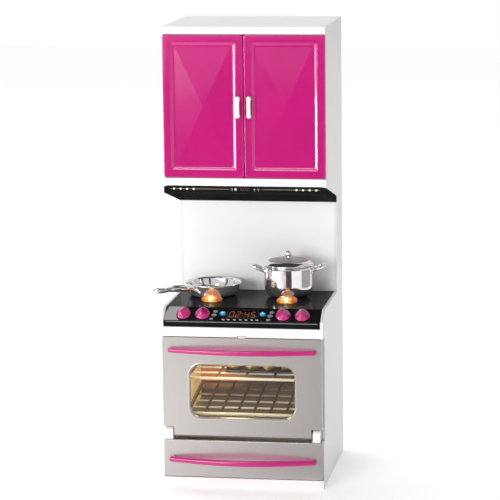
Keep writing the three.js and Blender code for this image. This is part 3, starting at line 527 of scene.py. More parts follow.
def studio():
    """A world that shows as white but lights less, soft lamps, and cards around the toy.

    Light Path gives the world one strength for light, one for reflections and one for the camera. The
    cards are seen by reflections only.
    """
    world = bpy.data.worlds.new("studio")
    SCENE.world = world
    world.use_nodes = True
    tree = world.node_tree
    plain = tree.nodes["Background"]
    plain.inputs["Color"].default_value = (1, 1, 1, 1)
    plain.inputs["Strength"].default_value = 0.35
    ray = tree.nodes.new("ShaderNodeLightPath")
    last = plain
    for sight, strength in (("Is Glossy Ray", 0.62), ("Is Camera Ray", 1.0)):
        backdrop = tree.nodes.new("ShaderNodeBackground")
        backdrop.inputs["Color"].default_value = (1, 1, 1, 1)
        backdrop.inputs["Strength"].default_value = strength
        choose = tree.nodes.new("ShaderNodeMixShader")
        tree.links.new(ray.outputs[sight], choose.inputs["Fac"])
        tree.links.new(last.outputs[0], choose.inputs[1])
        tree.links.new(backdrop.outputs["Background"], choose.inputs[2])
        last = choose
    tree.links.new(last.outputs[0], tree.nodes["World Output"].inputs["Surface"])
    SCENE.view_settings.view_transform = "Standard"
    middle = (0, 0, 0.16)
    softbox("front", (-0.95, -1.75, 0.42), middle, 0.9, 0.7, 19.5)
    softbox("front_high", (-0.24, -1.05, 1.22), (0, 0, 0.2), 0.3, 0.3, 2.6)
    softbox("left_strip", (-1.15, -0.55, 0.12), (0, 0, 0.2), 0.2, 0.5, 6, diffuse=False)
    softbox("overhead", (-0.2, 0.35, 1.3), middle, 0.7, 0.6, 7)
    card("far_card", -0.62, 0.06, -0.95, -3.5, 0.001, 0.001)
    card("pot_card", -0.02, 0.26, -0.62, -0.56, 0.001, 0.085, (0.035, 0.012, 0.03))
    silver_card()
    pan_x, reach, half = -0.029, 0.6, 5
    for number, azimuth in enumerate((-104, -58, 26, 62, 104)):
        near, far = (math.radians(azimuth + turn) for turn in (-half, half))
        card(f"pan_card_{number}", pan_x + reach * math.sin(near), pan_x + reach * math.sin(far),
             -reach * math.cos(near), -reach * math.cos(far), 0.2, 0.7)
    card("side_card", 0.5, 0.5, -0.15, 0.45, 0.001, 0.2, (0.4, 0.38, 0.38))

    bm = bmesh.new()
    bmesh.ops.create_grid(bm, x_segments=8, y_segments=8, size=3200)
    bmesh.ops.scale(bm, vec=(MM, MM, MM), verts=bm.verts)
    mesh = bpy.data.meshes.new("floor")
    bm.to_mesh(mesh)
    bm.free()
    ground = linked("floor", mesh)
    ground.location.z = -0.0002
    # the floor glows by itself, dimmer near the toy and full white far away: painted light on the floor
    white = shader("floor_white", Base_Color=(0.95, 0.95, 0.95, 1), Roughness=0.9, Emission_Strength=0.62)
    tree, bsdf = nodes_of(white)
    away = remap(tree, distance_from(tree, (0, 0, 0)), 150, 1500, 0, 1)
    tree.links.new(ramp(tree, away, [(0.0, (0.5, 0.5, 0.5)), (0.35, (0.68, 0.68, 0.68)), (1.0, (1, 1, 1))]),
                   bsdf.inputs["Emission Color"])
    mesh.materials.append(white)


# ---- cabinet ------------------------------------------------------------------------
def cabinet():
    for node, material, width, segments, widen in (
            ("left_side_panel", WHITE, 0.5, 3, 0), ("right_side_panel", WHITE, 0.5, 3, 0),
            ("top_panel", WHITE, 0.3, 3, SEAM), ("cupboard_floor", WHITE, 0.25, 3, SEAM),
            ("cupboard_shelf", WHITE_SATIN, 0.4, 3, SEAM), ("inner_back_panel", ALCOVE_WHITE_PAINTED_LIGHT, 0.2, 3, SEAM),
            ("base_plate", WHITE_SATIN, 0.3, 3, SEAM), ("rear_cover", WHITE, 0.25, 2, 0),
            ("battery_door", WHITE, 0.25, 2, 0), ("control_rail", WHITE, 0.25, 3, SEAM),
            ("hinge_rail", WHITE, 0.3, 3, 0), ("oven_door_latch", WHITE, 0.12, 3, 0.2)):
        softened(node, material, width, segments, widen=widen)
    for place in ("rear_screw_bottom_left", "rear_screw_bottom_right", "rear_screw_top_left",
                  "rear_screw_top_right", "battery_door_screw"):
        softened(place, STEEL, 0.12, segments=2)
    for side in ("left", "right"):
        softened("oven_hinge_pin_" + side, STEEL, 0.2, segments=2)


# ---- cupboard doors -----------------------------------------------------------------
DOOR_FRAME = 5.2
DOOR_STEP = 2.2
DOOR_SUNK = 1.1
DOOR_CROWN = 0.6
DOOR_RIM = 0.8
DOOR_SEAM = 0.22


def cupboard_door(side):
    """A moulded door: rounded rim, flat frame, sunk field and a shallow four-sided crown."""
    node = "cupboard_door_" + side
    door = Box(node)
    low = Box("cupboard_floor").z1 + GAP
    high = Box("top_panel").z0 - GAP
    y0, y1 = door.y0, door.y1
    left, right = (door.x0, door.x1 + DOOR_SEAM) if side == "left" else (door.x0 - DOOR_SEAM, door.x1)

    def ring(inset, y, radius):
        outline = round_rect(left + inset, right - inset, low + inset, high - inset, radius, 4)
        return [(x, y, z) for x, z in outline]

    loops = [ring(0.5, y1, 1.0), ring(0.15, y1 - 0.15, 1.3), ring(0, y1 - 0.5, 1.5)]
    for i in range(6):
        a = math.radians(90 * i / 5)
        loops.append(ring(DOOR_RIM * (1 - math.cos(a)), y0 + DOOR_RIM * (1 - math.sin(a)), 1.5))
    step = ((0, 0), (0.12, 0.06), (0.28, 0.19), (0.76, 0.77), (0.9, 0.94), (1, 1))
    for out, deep in step:
        loops.append(ring(DOOR_FRAME + DOOR_STEP * out, y0 + DOOR_SUNK * deep, 1.2 - out))
    field = DOOR_FRAME + DOOR_STEP + 1.6
    loops.append(ring(field, y0 + DOOR_SUNK, 0.15))
    bm = bmesh.new()
    rows = loft(bm, loops, end=False)
    apex = bm.verts.new((door.x, y0 + DOOR_SUNK - DOOR_CROWN, (low + high) / 2))
    rim = rows[-1]
    for i, vert in enumerate(rim):
        bm.faces.new((vert, rim[(i + 1) % len(rim)], apex))
    piece = finish(node + "_panel", bm, MAGENTA, node, node, [node], sharp=60)
    crease_corners(piece, apex_y=(y0 + DOOR_SUNK - DOOR_CROWN) * MM)

    pins = bmesh.new()
    for z0, z1 in ((door.z0, low + 1), (high - 1, door.z1)):
        x = math.copysign(abs(JOINTS[node + "_hinge"]["pos_m"][0]) / MM, door.x)
        tube(pins, (x, (y0 + y1) / 2, z0), (x, (y0 + y1) / 2, z1), 0.7, 16)
    finish(node + "_pins", pins, MAGENTA, node, node)


def crease_corners(piece, apex_y):
    """Keeps the crown's four ridges crisp, and only those."""
    mesh = piece.data
    apex = min(range(len(mesh.vertices)), key=lambda i: (
        abs(mesh.vertices[i].co.y - apex_y) + abs(mesh.vertices[i].co.z - 0.265) * 0.1))
    spokes = [e for e in mesh.edges if apex in e.vertices]
    spokes.sort(key=lambda e: mesh.vertices[e.vertices[0] if e.vertices[1] == apex else e.vertices[1]].index)
    for i, edge in enumerate(spokes):
        edge.use_edge_sharp = i % 5 == 2


def cupboard_handle(side):
    """A white pull: two round bosses joined by a bar that bows out."""
    node = "cupboard_handle_" + side
    h = Box(node)
    x, face = h.x, UPPER_FRONT
    z0, z1 = h.z0 + 1.3, h.z1 - 1.3
    bm = bmesh.new()
    for z in (z0, z1):
        profile = smooth_profile([(0.02, 3.3), (1.0, 3.15), (1.65, 2.5), (1.8, 1.7), (1.6, 0.9),
                                  (1.4, 0.0)], 3)
        loops = [[(x + r * math.cos(a), face - out, z + r * math.sin(a))
                  for a in (2 * math.pi * i / 24 for i in range(24))] for r, out in profile]
        loft(bm, loops)
    bow = spline([(x, face - 2.0, z0 - 0.3), (x, face - 2.5, z0 + 2.4), (x, face - 2.8, (z0 + z1) / 2),
                  (x, face - 2.5, z1 - 2.4), (x, face - 2.0, z1 + 0.3)], 6)
    sweep(bm, bow, lambda share: oval(1.5 - 0.15 * math.sin(math.pi * share), 0.85, 16, 2.3), up=(0, 1, 0))
    finish(node + "_pull", bm, WHITE, "cupboard_door_" + side, node, [node])


# ---- hood ---------------------------------------------------------------------------
def lozenge(bm, place, x, z, half_x, half_z, proud, sides=12, power=2.0):
    """A small raised mark; place(across, up, out) gives the point on the face it stands on."""
    low = [place(x + a, z + b, -0.1) for a, b in oval(half_x, half_z, sides, power)]
    high = [place(x + a, z + b, proud) for a, b in oval(half_x, half_z, sides, power)]
    loft(bm, [low, high])


def hood():
    """A thin black wedge whose front strip carries lamps and touch marks."""
    softened("hood", [BLACK_HOOD, BLACK_STRIP], 0.25, pick=lambda face: 1 if face.normal.y < -0.7 else 0)
    softened("hood_filter", FILTER, 0.2)
    strip = Box("hood")

    def place(across, up, out):
        return (across, strip.y0 - out, strip.z1 - 1.75 + up)

    lamps = bmesh.new()
    for start, end in ((-49.7, -35.8), (36.3, 50.2)):
        for i in range(4):
            lozenge(lamps, place, start + (end - start) * i / 3, 0.1, 0.8, 0.72, 0.25, 14)
    lozenge(lamps, place, -6.3, 0.1, 0.8, 0.85, 0.2, 14)
    printed("hood_lamps", lamps, LAMP_WHITE)

    lines = bmesh.new()
    for start, end in ((-52.8, -10.6), (11.4, 53.4)):
        lozenge(lines, place, (start + end) / 2, 0.15, (end - start) / 2, 0.11, 0.08, 12, 6)
    for x in (-8.8, 6.9, 9.7):
        lozenge(lines, place, x, 0.3, 0.75, 0.28, 0.08, 10, 3)
        lozenge(lines, place, x + 0.1, -0.6, 0.3, 0.35, 0.08, 10, 3)
    printed("hood_marks", lines, MARK_PALE)

    panel = bmesh.new()
    for x in (-2.5, -0.9, 0.9, 2.5):
        for z in (-0.45, 0.55):
            lozenge(panel, place, x, z, 0.5, 0.16, 0.08, 8, 4)
    printed("hood_readout", panel, MARK_DIM_RED)


# ---- cooktop ------------------------------------------------------------------------
def panel_axes():
    """Origin, down-slope and outward directions of the sloping control panel, from the knobs' joints."""
    inward = Vector(JOINTS["knob_1_turn"]["axis"])
    out = -inward
    down = Vector((1, 0, 0)).cross(inward)
    if down.z > 0:
        down = -down
    point = Vector(JOINTS["knob_1_turn"]["pos_m"]) / MM
    return Vector((0, point.y, point.z)), down, out


PANEL_ORIGIN, PANEL_DOWN, PANEL_OUT = panel_axes()


def on_panel(x, down, out):
    """A point on the control panel: x across, millimetres below the knobs' line, height above it."""
    return PANEL_ORIGIN + Vector((x, 0, 0)) + PANEL_DOWN * down + PANEL_OUT * out


def cooktop():
    def pick(face):
        if face.normal.z > 0.99:
            return 0
        return 2 if face.normal.y < -0.99 else 1

    softened("cooktop", [BLACK_TOP, BLACK_GLOSS, BLACK_LIP], 0.8, segments=4, pick=pick)
    out = PANEL_ORIGIN + PANEL_DOWN * ((LOWER_FRONT - PANEL_ORIGIN.y) / PANEL_DOWN.y)
    # a grey bead along the crest between the slope and the lip: a painted highlight line
    highlight_bead = bmesh.new()
    tube(highlight_bead, *((x, out.y + 0.3, out.z - 0.95) for x in (COOKTOP.x0 + 1.4, COOKTOP.x1 - 1.4)), 0.42)
    finish("cooktop_crest_highlight", highlight_bead, CREST_PAINTED_HIGHLIGHT, "cabinet", "cooktop", flat=False)


SEGMENTS = {
    "top": (0, 1, True), "middle": (0, 0, True), "bottom": (0, -1, True),
    "upper_left": (-1, 0.5, False), "upper_right": (1, 0.5, False),
    "lower_left": (-1, -0.5, False), "lower_right": (1, -0.5, False),
}
DIGITS = {
    0: ("top", "bottom", "upper_left", "upper_right", "lower_left", "lower_right"),
    2: ("top", "middle", "bottom", "upper_right", "lower_left"),
    4: ("middle", "upper_left", "upper_right", "lower_right"),
    5: ("top", "middle", "bottom", "upper_left", "lower_right"),
}


def stroke(bm, start, end, width, lift, proud):
    """A short bar lying on the control panel, between two (across, down) points."""
    (x0, d0), (x1, d1) = start, end
    length = math.hypot(x1 - x0, d1 - d0)
    side = ((d0 - d1) / length * width / 2, (x1 - x0) / length * width / 2)
    corners = [(x0 - side[0], d0 - side[1]), (x1 - side[0], d1 - side[1]),
               (x1 + side[0], d1 + side[1]), (x0 + side[0], d0 + side[1])]
    loft(bm, [[on_panel(x, d, h) for x, d in corners] for h in (lift - 0.15, lift + proud)])


def clock(centre_down):
    """The dark window and its glowing clock figures."""
    window = Box("clock_display")
    half = (window.x1 - window.x0) / 2
    glass = bmesh.new()
    outline = [(-half - 1.5, 4.1), (-half - 0.1, -3.9), (half + 0.1, -3.9), (half + 1.5, 4.1)]
    outline = [(x + window.x, d + centre_down) for x, d in outline]
    loft(glass, [[on_panel(x, d, h) for x, d in outline] for h in (-0.6, 0.06)])
    finish("clock_glass", glass, CLOCK_GLASS, "cabinet", "display")
    figures = bmesh.new()
    wide, tall, lean = 1.42, 2.65, -0.13
    for digit, x in zip((0, 2, 4, 5), (-7.6, -3.1, 2.9, 7.5)):
        for name in DIGITS[digit]:
            across, up, flat = SEGMENTS[name]
            cx, cz = across * wide, up * tall
            run = (wide - 0.25, 0) if flat else (0, tall / 2 - 0.25)
            ends = []
            for sign in (-1, 1):
                px, pz = cx + sign * run[0], cz + sign * run[1]
                ends.append((x + window.x + px - lean * pz, centre_down - pz))
            stroke(figures, ends[0], ends[1], 0.62, 0.1, 0.08)
    for up in (-1.0, 1.0):
        stroke(figures, (-0.35, centre_down - up), (0.25, centre_down - up), 0.6, 0.1, 0.08)
    printed("clock_figures", figures, CLOCK_GLOW)


def touch_marks(centre_down):
    """Grey touch spots beside the lit buttons and a row of small white signs below the clock."""
    spots = bmesh.new()
    places = [(-19.4, -2.9, 1.0), (-19.9, 0.9, 1.1), (-21.4, 5.0, 0.8),
              (20.2, -2.9, 1.0), (19.3, 0.9, 1.15), (18.6, 5.0, 0.95)]

    def place(across, up, out):
        return on_panel(across, centre_down - up, out + 0.02)

    for x, down, size in places:
        lozenge(spots, place, x, -down, 1.75 * size, 1.45 * size, 0.06, 24)
    printed("touch_spots", spots, SPOT_GREY)
    rings = bmesh.new()
    for x, down, size in places:
        for i in range(3):
            left = x - 0.85 + 0.6 * i
            stroke(rings, (left, centre_down + down - 0.4), (left + 0.35, centre_down + down + 0.4),
                   0.2, 0.1, 0.05)
    row = centre_down + 5.6
    for k, x in enumerate((-13.0, -9.4, -5.2, -1.0, 3.0, 7.0, 10.6)):
        stroke(rings, (x - 1.0, row - 0.35), (x + 1.0, row - 0.35), 0.4, 0.02, 0.05)
        stroke(rings, (x - 0.5 + 0.3 * (k % 3), row - 0.7), (x + 0.1, row + 0.55), 0.4, 0.02, 0.05)
        stroke(rings, (x + 0.5, row + 0.35), (x + 1.15 - 0.2 * (k % 2), row + 0.35), 0.4, 0.02, 0.05)
    printed("touch_signs", rings, MARK_WHITE)


def knob(number):
    """A round skirt that swells and draws in to a short rounded blade, like a dropped sweet."""
    node = f"knob_{number}"
    x = JOINTS[node + "_turn"]["pos_m"][0] / MM
    lean = {1: 0.5, 2: 0.04, 3: -0.35, 4: -0.05}[number]
    half_skirt = (Box(node).x1 - Box(node).x0) / 2
    bm = bmesh.new()
    rows = []
    profile = [(0.0, 0.93), (0.1, 0.975), (0.4, 1.0), (0.9, 0.985), (1.3, 0.94), (1.6, 0.88)]
    stations = [(h, half_skirt * r, half_skirt * r, 2.0) for h, r in profile]
    levels = 12
    base, tall = 0.88 * half_skirt, 3.35
    for i in range(1, levels + 1):
        t = i / levels
        narrow = base * (1 - t) ** 1.15 + 0.42 * t
        long = base * (1 - 0.42 * t ** 1.5)
        stations.append((1.6 + tall * t ** 0.85, narrow, long, 2 + 1.2 * math.sin(math.pi * t * 0.9)))
    stations.append((1.6 + tall + 0.14, 0.2, 2.3, 2.4))
    for height, narrow, long, power in stations:
        row = []
        for a, b in oval(narrow, long, 56, power):
            across = a * math.cos(lean) - b * math.sin(lean)
            down = a * math.sin(lean) + b * math.cos(lean)
            row.append(on_panel(x + across, down, height + GAP))
        rows.append(row)
    loft(bm, rows)
    for radius, top, bottom in ((1.2, 0.8, -5), (2.3, -3.8, -4.6)):
        loft(bm, [[on_panel(x + a, b, h) for a, b in oval(radius, radius, 20)] for h in (bottom, top)])
    finish(node + "_grip", bm, MAGENTA_GRIP, node, node, [node], sharp=62, flat=False)


def button_down(node):
    """How far down the panel a button's middle lies from the knobs' line."""
    button = Box(node)
    return (Vector((0, button.y, button.z)) - PANEL_ORIGIN).dot(PANEL_DOWN)


def light_button(side):
    """A lit button with a faceted, gem-like cap."""
    node = "light_button_" + side
    x = Box(node).x
    down = button_down(node)
    centre = on_panel(x, down, 0.9)
    glow = glowing(node + "_glow", centre, 2.7,
                   [(0.0, (0.62, 0.88, 0.95)), (0.2, (0.2, 0.55, 0.75)), (0.5, (0.03, 0.27, 0.47)),
                    (0.85, (0.008, 0.08, 0.18)), (1.0, (0.004, 0.04, 0.1))], 0.6)
    bm = bmesh.new()
    loops = []
    for height, size in ((-2.6, 0.8), (-0.2, 0.95), (0.35, 1.0), (0.8, 0.9), (1.15, 0.55), (1.2, 0.4)):
        gem = [(2.6, 0), (1.3, 1.15), (0, 2.0), (-1.3, 1.15),
               (-2.6, 0), (-1.3, -1.15), (0, -2.0), (1.3, -1.15)]
        loops.append([on_panel(x + a * size, down + b * size, height) for a, b in gem])
    loft(bm, loops)
    finish(node + "_gem", bm, glow, node, node, [node], sharp=20, flat=False)


def burner_light(side):
    """A faceted amber lens over the lamp, with a glowing star burst at its front: painted glare of the lamp.
    """
    node = "burner_light_" + side
    lens = Box(node)
    x, y, top = lens.x, (lens.y0 + lens.y1) / 2, COOKTOP.z1
    heart = Vector((x, y - 5.6, top + 1.75))
    lens_reach = 5.6
    amber = glowing(node + "_amber", heart, 9.5,
                    [(0.0, (1.0, 0.86, 0.42)), (0.22, (0.95, 0.42, 0.07)), (0.5, (0.72, 0.18, 0.03)),
                     (0.78, (0.5, 0.16, 0.06)), (1.0, (0.42, 0.3, 0.25))], 0.45)
    bm = bmesh.new()
    sides = 8
    back = y + lens_reach
    loops = []
    for height, radius, tilt in ((-2.4, 6.3, 0), (0.0, 6.4, 0), (0.06, 7.4, 0), (1.5, 7.9, 0),
                                 (2.9, 7.2, 0.5), (3.9, 5.4, 0.5), (4.1, 2.6, 0)):
        loop = []
        for i in range(sides):
            turn = math.pi * (2 * i + 1 + tilt) / sides
            py = y - 0.1 + radius * math.sin(turn) * 0.95
            share = min(max((back - py) / 6.0, 0.0), 1.0)
            rise = height * share if height > 0.1 else height
            loop.append((x + radius * math.cos(turn), py, top + rise))
        loops.append(loop)
    loft(bm, loops)
    finish(node + "_lens", bm, amber, "cabinet", node, [node], sharp=8, flat=False)

    # the star's glowing spikes and core are painted glare of the lamp, not parts of the toy
    flare = glowing(node + "_burst", heart, 5.4,
                    [(0.0, (1.0, 1.0, 0.8)), (0.3, (1.0, 0.95, 0.55)), (0.65, (0.95, 0.72, 0.25)),
                     (1.0, (0.75, 0.5, 0.16))], 1.5)
    rng = random.Random(11 if side == "left" else 12)
    burst = bmesh.new()
    count = 16
    for i in range(count):
        turn = 2 * math.pi * (i + 0.3 * rng.random()) / count
        reach = (5.2 if i % 2 else 3.4) + 0.8 * rng.random()
        ahead = Vector((math.cos(turn), -0.35, math.sin(turn) * 0.9)).normalized()
        tip = heart + ahead * reach
        tip.z = max(tip.z, top + 0.15)
        thick = 0.3 if i % 2 else 0.4

        def section(share, thick=thick):
            return oval(thick * (1 - share) + 0.02, thick * (1 - share) + 0.02, 6)

        sweep(burst, [heart, heart.lerp(tip, 0.4), tip], section, up=(0.02, 1, 0.05))
    core = bmesh.ops.create_icosphere(burst, subdivisions=3, radius=1.7)
    bmesh.ops.translate(burst, vec=heart, verts=core["verts"])
    finish(node + "_star", burst, flare, "cabinet", node, sharp=30, flat=False)


# ---- oven ---------------------------------------------------------------------------
WINDOW_CORNER = 9


def window_trim():
    """The chamfered rim of the oven's window, which takes the light along its edge."""
    half, low, high = 37.7, 48.5, 87.7
    bm = bmesh.new()
    loops = []
    for inset, deep in ((-0.6, 0.05), (-0.55, -0.06), (-0.3, -0.12), (-0.05, -0.08), (0.08, 0.04),
                        (0.95, 1.15), (1.05, 1.4), (1.05, 2.6), (0.2, 2.6), (-0.4, 1.0)):
        outline = round_rect(-half + inset, half - inset, low + inset, high - inset,
                             WINDOW_CORNER - inset, 10)
        loops.append([(x, LOWER_FRONT + deep, z) for x, z in outline])
    loft(bm, loops, closed=True)
    finish("oven_window_trim", bm, SILVER_EDGE, "oven_door", "oven_door_shell", sharp=30, flat=False)


def oven_door():
    softened("oven_door_shell", SILVER, 0.75, segments=4)
    softened("oven_door_back", GREY, 0.3)
    softened("oven_window", clear_plastic("clear_window", (0.99, 0.97, 0.93), ior=1.28), 0.2)
    window_trim()


def shaded_wire(node, front, back):
    """Plated wire with painted light and shade: a pale painted highlight at the front, where the window's
    light reaches, and painted shade darkening it towards the back of the oven.
    """
    wire = plastic(node + "_wire", (0.95, 0.88, 0.7), 0.3)
    tree, bsdf = nodes_of(wire)
    deep = remap(tree, split_xyz(tree, "Object")["Y"], front * MM, back * MM, 0, 1)
    # painted light and shade by depth: pale and warm at the front, dark at the back
    shade = ramp(tree, deep, [(0.0, (1.0, 0.93, 0.7)), (0.06, (0.97, 0.94, 0.88)), (0.45, (0.8, 0.75, 0.66)),
                              (0.7, (0.32, 0.26, 0.2)), (1.0, (0.14, 0.1, 0.07))])
    tree.links.new(shade, bsdf.inputs["Base Color"])
    return wire


def oven_rack(which, rise, rows, columns, front):
    """Bright cross wires under lengthwise ones of the same wire painted dark as shade, with a stout rail at
    the front.
    """
    node = "oven_rack_" + which
    rack = Box(node)
    wire = 0.7
    y0, y1 = rack.y0 + wire, rack.y1 - wire
    z0 = rack.z0 + wire

    def height(y):
        return z0 + rise * (y - y0) / (y1 - y0)

    cross = bmesh.new()
    for i in range(rows):
        y = y0 + (y1 - y0) * i / (rows - 1)
        radius = front if i == 0 else 0.7
        tube(cross, (rack.x0, y, height(y)), (rack.x1, y, height(y)), radius, 14)
    finish(node + "_cross", cross, shaded_wire(node, y0, y1), "cabinet", node, [node], flat=False)
    along = bmesh.new()
    for i in range(columns):
        x = (rack.x1 - 1.4) * (2 * i / (columns - 1) - 1)
        lift = 1.0
        sweep(along, [Vector((x, y0 + 0.6, height(y0) + lift)), Vector((x, y1, height(y1) + lift))],
              lambda share: oval(0.95, 0.4, 12))
    finish(node + "_along", along, WIRE_PAINTED_SHADE, "cabinet", node, flat=False)


def bread():
    """A moulded tray with four slashed rolls."""
    tray = Box("food_tray")
    rng = random.Random(4)
    bm = bmesh.new()
    loops = []
    for inset, z in ((0.9, 0), (0.2, 0.3), (0, 0.9), (0, 1.5), (0.5, 1.6), (0.9, 1.0)):
        outline = round_rect(tray.x0 + inset, tray.x1 - inset, tray.y0 + inset, tray.y1 - inset, 2.2, 5)
        loops.append([(x, y, tray.z0 + z) for x, y in outline])
    loft(bm, loops)
    finish("food_tray_dish", bm, TRAY_DARK, "cabinet", "food_tray", ["food_tray"], flat=False)
    rolls = bmesh.new()
    count = 4
    wide = (tray.x1 - tray.x0) / count
    for i in range(count):
        x = tray.x0 + wide * (i + 0.5)
        made = bmesh.ops.create_uvsphere(rolls, u_segments=36, v_segments=24, radius=1)
        for vert in made["verts"]:
            c = vert.co
            slash = math.exp(-((c.x * 2.6 + 0.8 * c.y) % 0.9 - 0.45) ** 2 / 0.012) if c.z > 0.15 else 0
            swell = 1 + 0.06 * math.sin(5 * c.x + i) + 0.05 * math.sin(4 * c.y + 2 * i) - 0.07 * slash
            vert.co = Vector((c.x * swell * wide * 0.46, c.y * swell * 8.4, c.z * swell * 4.0))
        bmesh.ops.rotate(rolls, cent=(0, 0, 0), matrix=Matrix.Rotation(0.25 * (rng.random() - 0.5), 3, "Z"),
                         verts=made["verts"])
        bmesh.ops.translate(rolls, vec=(x, tray.y, tray.z0 + 4.3), verts=made["verts"])
    finish("food_tray_rolls", rolls, BREAD, "cabinet", "food_tray", flat=False)


def oven_walls(name, plain, glow_near, glow_reach, strength):
    """Dull metal with painted light from one side: a warm glowing patch that fades into the wall's given
    tone, and a faint glow of its own all over.
    """
    material = shader(name, Metallic=0.2, Emission_Strength=strength)
    tree, bsdf = nodes_of(material)
    # a painted pool of warm light around one point of the liner
    patch = remap(tree, distance_from(tree, glow_near, (1, 0.2, 2.6)), 0, glow_reach, 0, 1)
    warm = ramp(tree, patch, [(0.0, (0.62, 0.17, 0.05)), (0.35, (0.5, 0.15, 0.05)), (0.7, (0.24, 0.13, 0.07)),
                              (1.0, plain)])
    soot = ramp(tree, noise(tree, 38, 3), [(0.3, (0.72, 0.7, 0.68)), (0.7, (1, 1, 1))])
    mix = tree.nodes.new("ShaderNodeMix")
    mix.data_type = "RGBA"
    mix.blend_type = "MULTIPLY"
    mix.inputs["Factor"].default_value = 1
    tree.links.new(warm, mix.inputs["A"])
    tree.links.new(soot, mix.inputs["B"])
    tree.links.new(mix.outputs["Result"], bsdf.inputs["Base Color"])
    tree.links.new(mix.outputs["Result"], bsdf.inputs["Emission Color"])
    tree.links.new(remap(tree, noise(tree, 90, 2), 0.3, 0.7, 0.3, 0.45), bsdf.inputs["Roughness"])
    return material


def oven_inside():
    liner = Box("oven_liner")
    patch = (-33, liner.y1, 62)
    # one liner metal in three painted tones, dark at the back, bright at the sides and dim on the floor:
    # painted light and shade
    back = oven_walls("oven_back_wall", (0.075, 0.052, 0.036), patch, 30, 0.75)
    side = oven_walls("oven_side_wall", (0.6, 0.43, 0.2), patch, 12, 0.7)
    plain = oven_walls("oven_floor", (0.16, 0.12, 0.075), patch, 12, 0.4)

    def pick(face):
        if abs(face.normal.x) > 0.7:
            return 1
        return 0 if abs(face.normal.y) > 0.7 else 2

    softened("oven_liner", [back, side, plain], 0.3, pick=pick)
    warm = [(0, (1, 0.85, 0.5)), (1, (1, 0.6, 0.25))]
    softened("oven_lamp", glowing("oven_lamp_glow", (0, -6, 98), 8, warm, 3), 0.3)
    oven_rack("upper", 1, 5, 5, 1.0)
    oven_rack("lower", 8, 6, 8, 1.3)
    bread()
    lamp = bpy.data.lights.new("oven_bulb", "POINT")
    lamp.energy = 0.05
    lamp.color = (1, 0.8, 0.5)
    lamp.shadow_soft_size = 0.01
    linked("oven_bulb", lamp).location = (-0.012, -0.036, 0.094)


def bowed_handle(node, body):
    """A bar that bows out between two rounded ends set on the front."""
    h = Box(node)
    radius = (h.z1 - h.z0) / 2
    face = LOWER_FRONT
    half = (h.x1 - h.x0) / 2 - radius
    depth = face - h.y0
    count = 48
    centres = []
    for i in range(count + 1):
        u = -1 + 2 * i / count
        out = radius + 0.4 + (depth - 2 * radius - 0.4) * math.cos(u * math.pi / 2)
        centres.append(Vector((u * half, face - out, h.z)))

    def section(share):
        u = abs(2 * share - 1)
        return oval(radius * 0.92, radius * (0.86 + 0.14 * math.cos(u * math.pi / 2)), 28, 2.3)

    bm = bmesh.new()
    sweep(bm, centres, section)
    for s in (-1, 1):
        end = centres[-1] if s > 0 else centres[0]
        loops = []
        for along, size in ((-0.6, 0.84), (0.2, 0.86), (0.9, 0.8), (1.35, 0.66), (1.5, 0.5),
                            (1.35, 0.36), (1.2, 0.1)):
            loops.append([(end.x + s * along, end.y + a * radius * size, end.z + b * radius * size)
                          for a, b in oval(1, 1, 28, 2.3)])
        loft(bm, loops)
        foot = [(face - 0.03, 0.8), (face - 0.5, 0.82), (face - radius - 0.4, 0.8)]
        loft(bm, [[(s * (half - 0.7) + a * radius * size, y, h.z + b * radius * size)
                   for a, b in oval(1, 1, 24, 2.3)] for y, size in foot])
    finish(node + "_bar", bm, MAGENTA_BAR, body, node, [node], sharp=60, flat=False)


def drawer():
    softened("drawer_front", SILVER, 0.65, segments=4)
    softened("drawer_tray", WHITE_SATIN, 0.4)


# ---- pan and pot --------------------------------------------------------------------
PAN_RIM = 20.2
PAN_AZIMUTH = math.radians(235)


